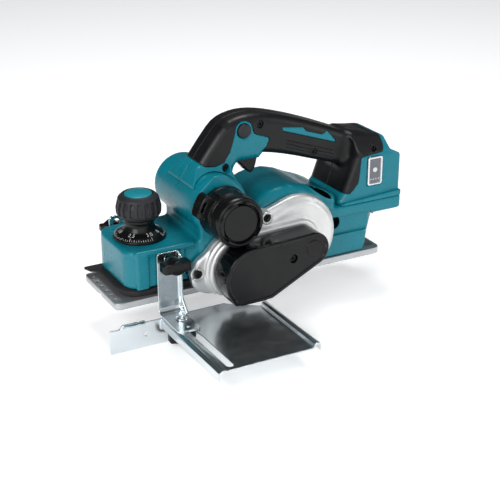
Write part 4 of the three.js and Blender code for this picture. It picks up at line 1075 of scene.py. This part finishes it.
# -------- screws
def screw(name, at, head_y, head_r, head_length, shaft_r, length, look, slot):
    """A socket screw along Y with its head towards the belt side."""
    sx, sz = at
    reach = head_r + 0.5
    g = Grid((sx - reach, head_y - 0.5, sz - reach), (sx + reach, head_y + length + 0.5, sz + reach), 0.28)
    radius = disc(g.x, g.z, at)
    neck, tip = head_y + head_length, head_y + length
    profile = [
        (0, head_y), (head_r, head_y, 0.5), (head_r, neck), (shaft_r, neck), (shaft_r, tip, 0.4),
        (0, tip),
    ]
    body = turned(radius, g.y, profile)
    turns = np.arctan2(g.z - sz, g.x - sx)
    hexagon = radius * np.cos((turns + math.pi / 6) % (math.pi / 3) - math.pi / 6) - head_r * 0.5
    body = dig(body, np.maximum(hexagon, g.y - head_y - head_length * 0.7), 0.15)
    thread = np.sin(g.y * 2 * math.pi / 1.2 + turns) * 0.18 + radius - shaft_r + 0.18
    body = np.where((g.y > neck + 1) & (radius < shaft_r + 1), np.maximum(body, thread), body)
    piece(name + "_turned", g, body, "body", look, slot, [name], keep_detail=0.3)


def screws():
    screw("casting_screw_front", LUGS[0], -56, 3.8, 3, 2.5, 20, SCREW, "steel")
    screw("casting_screw_top", LUGS[1], -56, 3.8, 3, 2.5, 20, SCREW, "steel")
    screw("belt_cover_screw", COVER_SCREW, -85.8, 3.6, 3, 2, 34, SCREW, "steel")
    for i, (sx, sz, sy) in enumerate(HANDLE_SCREWS):
        screw(f"handle_screw_{i + 1}", (sx, sz), sy + 1.2, 3.8, 3, 1.7, -2 * sy - 12, SCREW, "black_screw")


# -------- pieces that keep their CAD shape
KEPT = [
    (STEEL, "trigger_pin drum_bearing_near drum_bearing_far motor_bearing_near motor_bearing_far"),
    (STEEL, "blade_1 blade_2 clamp_plate_1 clamp_plate_2 rotor base_spring depth_screw"),
    (MACHINED, "cutter_drum drum_pulley motor_pulley"),
    (BLACK, "switch_body battery_terminal motor_end_cover cooling_fan"),
    (KNOB_RUBBER, "drive_belt"),
    (BOARD, "controller_board"),
    (COPPER, "stator"),
    (ZINC, "bracket_stud guide_stud"),
]


def kept_nodes():
    for look, names in KEPT:
        for name in names.split():
            mesh = frame["nodes"][name].data
            mesh.materials.clear()
            mesh.materials.append(look)


# -------- floor, lights and camera
def stage():
    mesh = bpy.data.meshes.new("floor")
    half, low = 8.0, FLOOR_Z * MM
    corners = [(-half, -half, low), (half, -half, low), (half, half, low), (-half, half, low)]
    mesh.from_pydata(corners, [], [(0, 1, 2, 3)])
    floor = added("floor", mesh)
    look = finish_look("studio_floor", (252, 252, 252), 0.9, drift=0.004, grain=(60, 0.05, 0.1))
    shader = look.node_tree.nodes["Principled BSDF"]
    shader.inputs["Emission Color"].default_value = (1, 1, 1, 1)
    shader.inputs["Emission Strength"].default_value = 0.33
    mesh.materials.append(look)
    floor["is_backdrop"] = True


def aim(obj, target):
    """Turns a lamp or the camera to look at a point."""
    obj.rotation_euler = (Vector(target) - obj.location).to_track_quat("-Z", "Y").to_euler()


def area_light(name, place, size, power, target=(0, 0, 0.03)):
    lamp = bpy.data.lights.new(name, "AREA")
    lamp.shape = "RECTANGLE"
    lamp.size, lamp.size_y = size
    lamp.energy = power
    obj = added(name, lamp)
    obj.location = place
    aim(obj, target)


def lights():
    area_light("key", (-1.3, -0.8, 1.0), (0.9, 0.9), 18)
    area_light("front", (-0.3, -1.9, 0.7), (1.6, 0.5), 5)
    area_light("side", (1.5, -0.9, 0.6), (0.5, 1.0), 5)
    area_light("top", (0.3, 0.5, 1.7), (0.8, 0.5), 14)
    world = bpy.data.worlds.new("studio")
    bpy.context.scene.world = world
    world.use_nodes = True
    nodes, links = world.node_tree.nodes, world.node_tree.links
    direction = nodes.new("ShaderNodeTexCoord").outputs["Generated"]
    split = nodes.new("ShaderNodeSeparateXYZ")
    links.new(direction, split.inputs[0])
    ramp = nodes.new("ShaderNodeValToRGB")
    ramp.color_ramp.interpolation = "EASE"
    ramp.color_ramp.elements[0].position = 0.15
    ramp.color_ramp.elements[0].color = (0.7, 0.72, 0.75, 1)
    ramp.color_ramp.elements[1].position = 0.65
    ramp.color_ramp.elements[1].color = (0.1, 0.105, 0.11, 1)
    shift = nodes.new("ShaderNodeMapRange")
    shift.inputs["From Min"].default_value = -1
    links.new(split.outputs["Y"], shift.inputs["Value"])
    links.new(shift.outputs["Result"], ramp.inputs["Fac"])
    links.new(ramp.outputs["Color"], nodes["Background"].inputs["Color"])
    nodes["Background"].inputs["Strength"].default_value = 0.7
    bpy.context.scene.view_settings.view_transform = "Standard"


def camera():
    lens = bpy.data.cameras.new("camera")
    lens.lens = 84.96
    lens.clip_end = 50
    obj = added("camera", lens)
    target = Vector((0, 0, 0.0158))
    azimuth, elevation, distance = math.radians(-28.8), math.radians(23.4), 1.263
    level = distance * math.cos(elevation)
    away = (math.sin(azimuth) * level, -math.cos(azimuth) * level, distance * math.sin(elevation))
    obj.location = target + Vector(away)
    aim(obj, target)
    bpy.context.scene.camera = obj


camera()
lights()
stage()
kept_nodes()
for make in (
    main_housing, handle, drum_frame, belt_cover, outlet_collar, outlet_cap, depth_dial, depth_knob,
    dial_marks, fence_knob, side_knobs, fence_bracket, fence_plate, fence_bolt, depth_guide, rear_base,
    front_base, front_seal, trigger, lock_button, indicator, screws,
):
    make()

{"cad": [list(c) for c in cad_bounds], "visual": [list(c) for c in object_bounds()]}
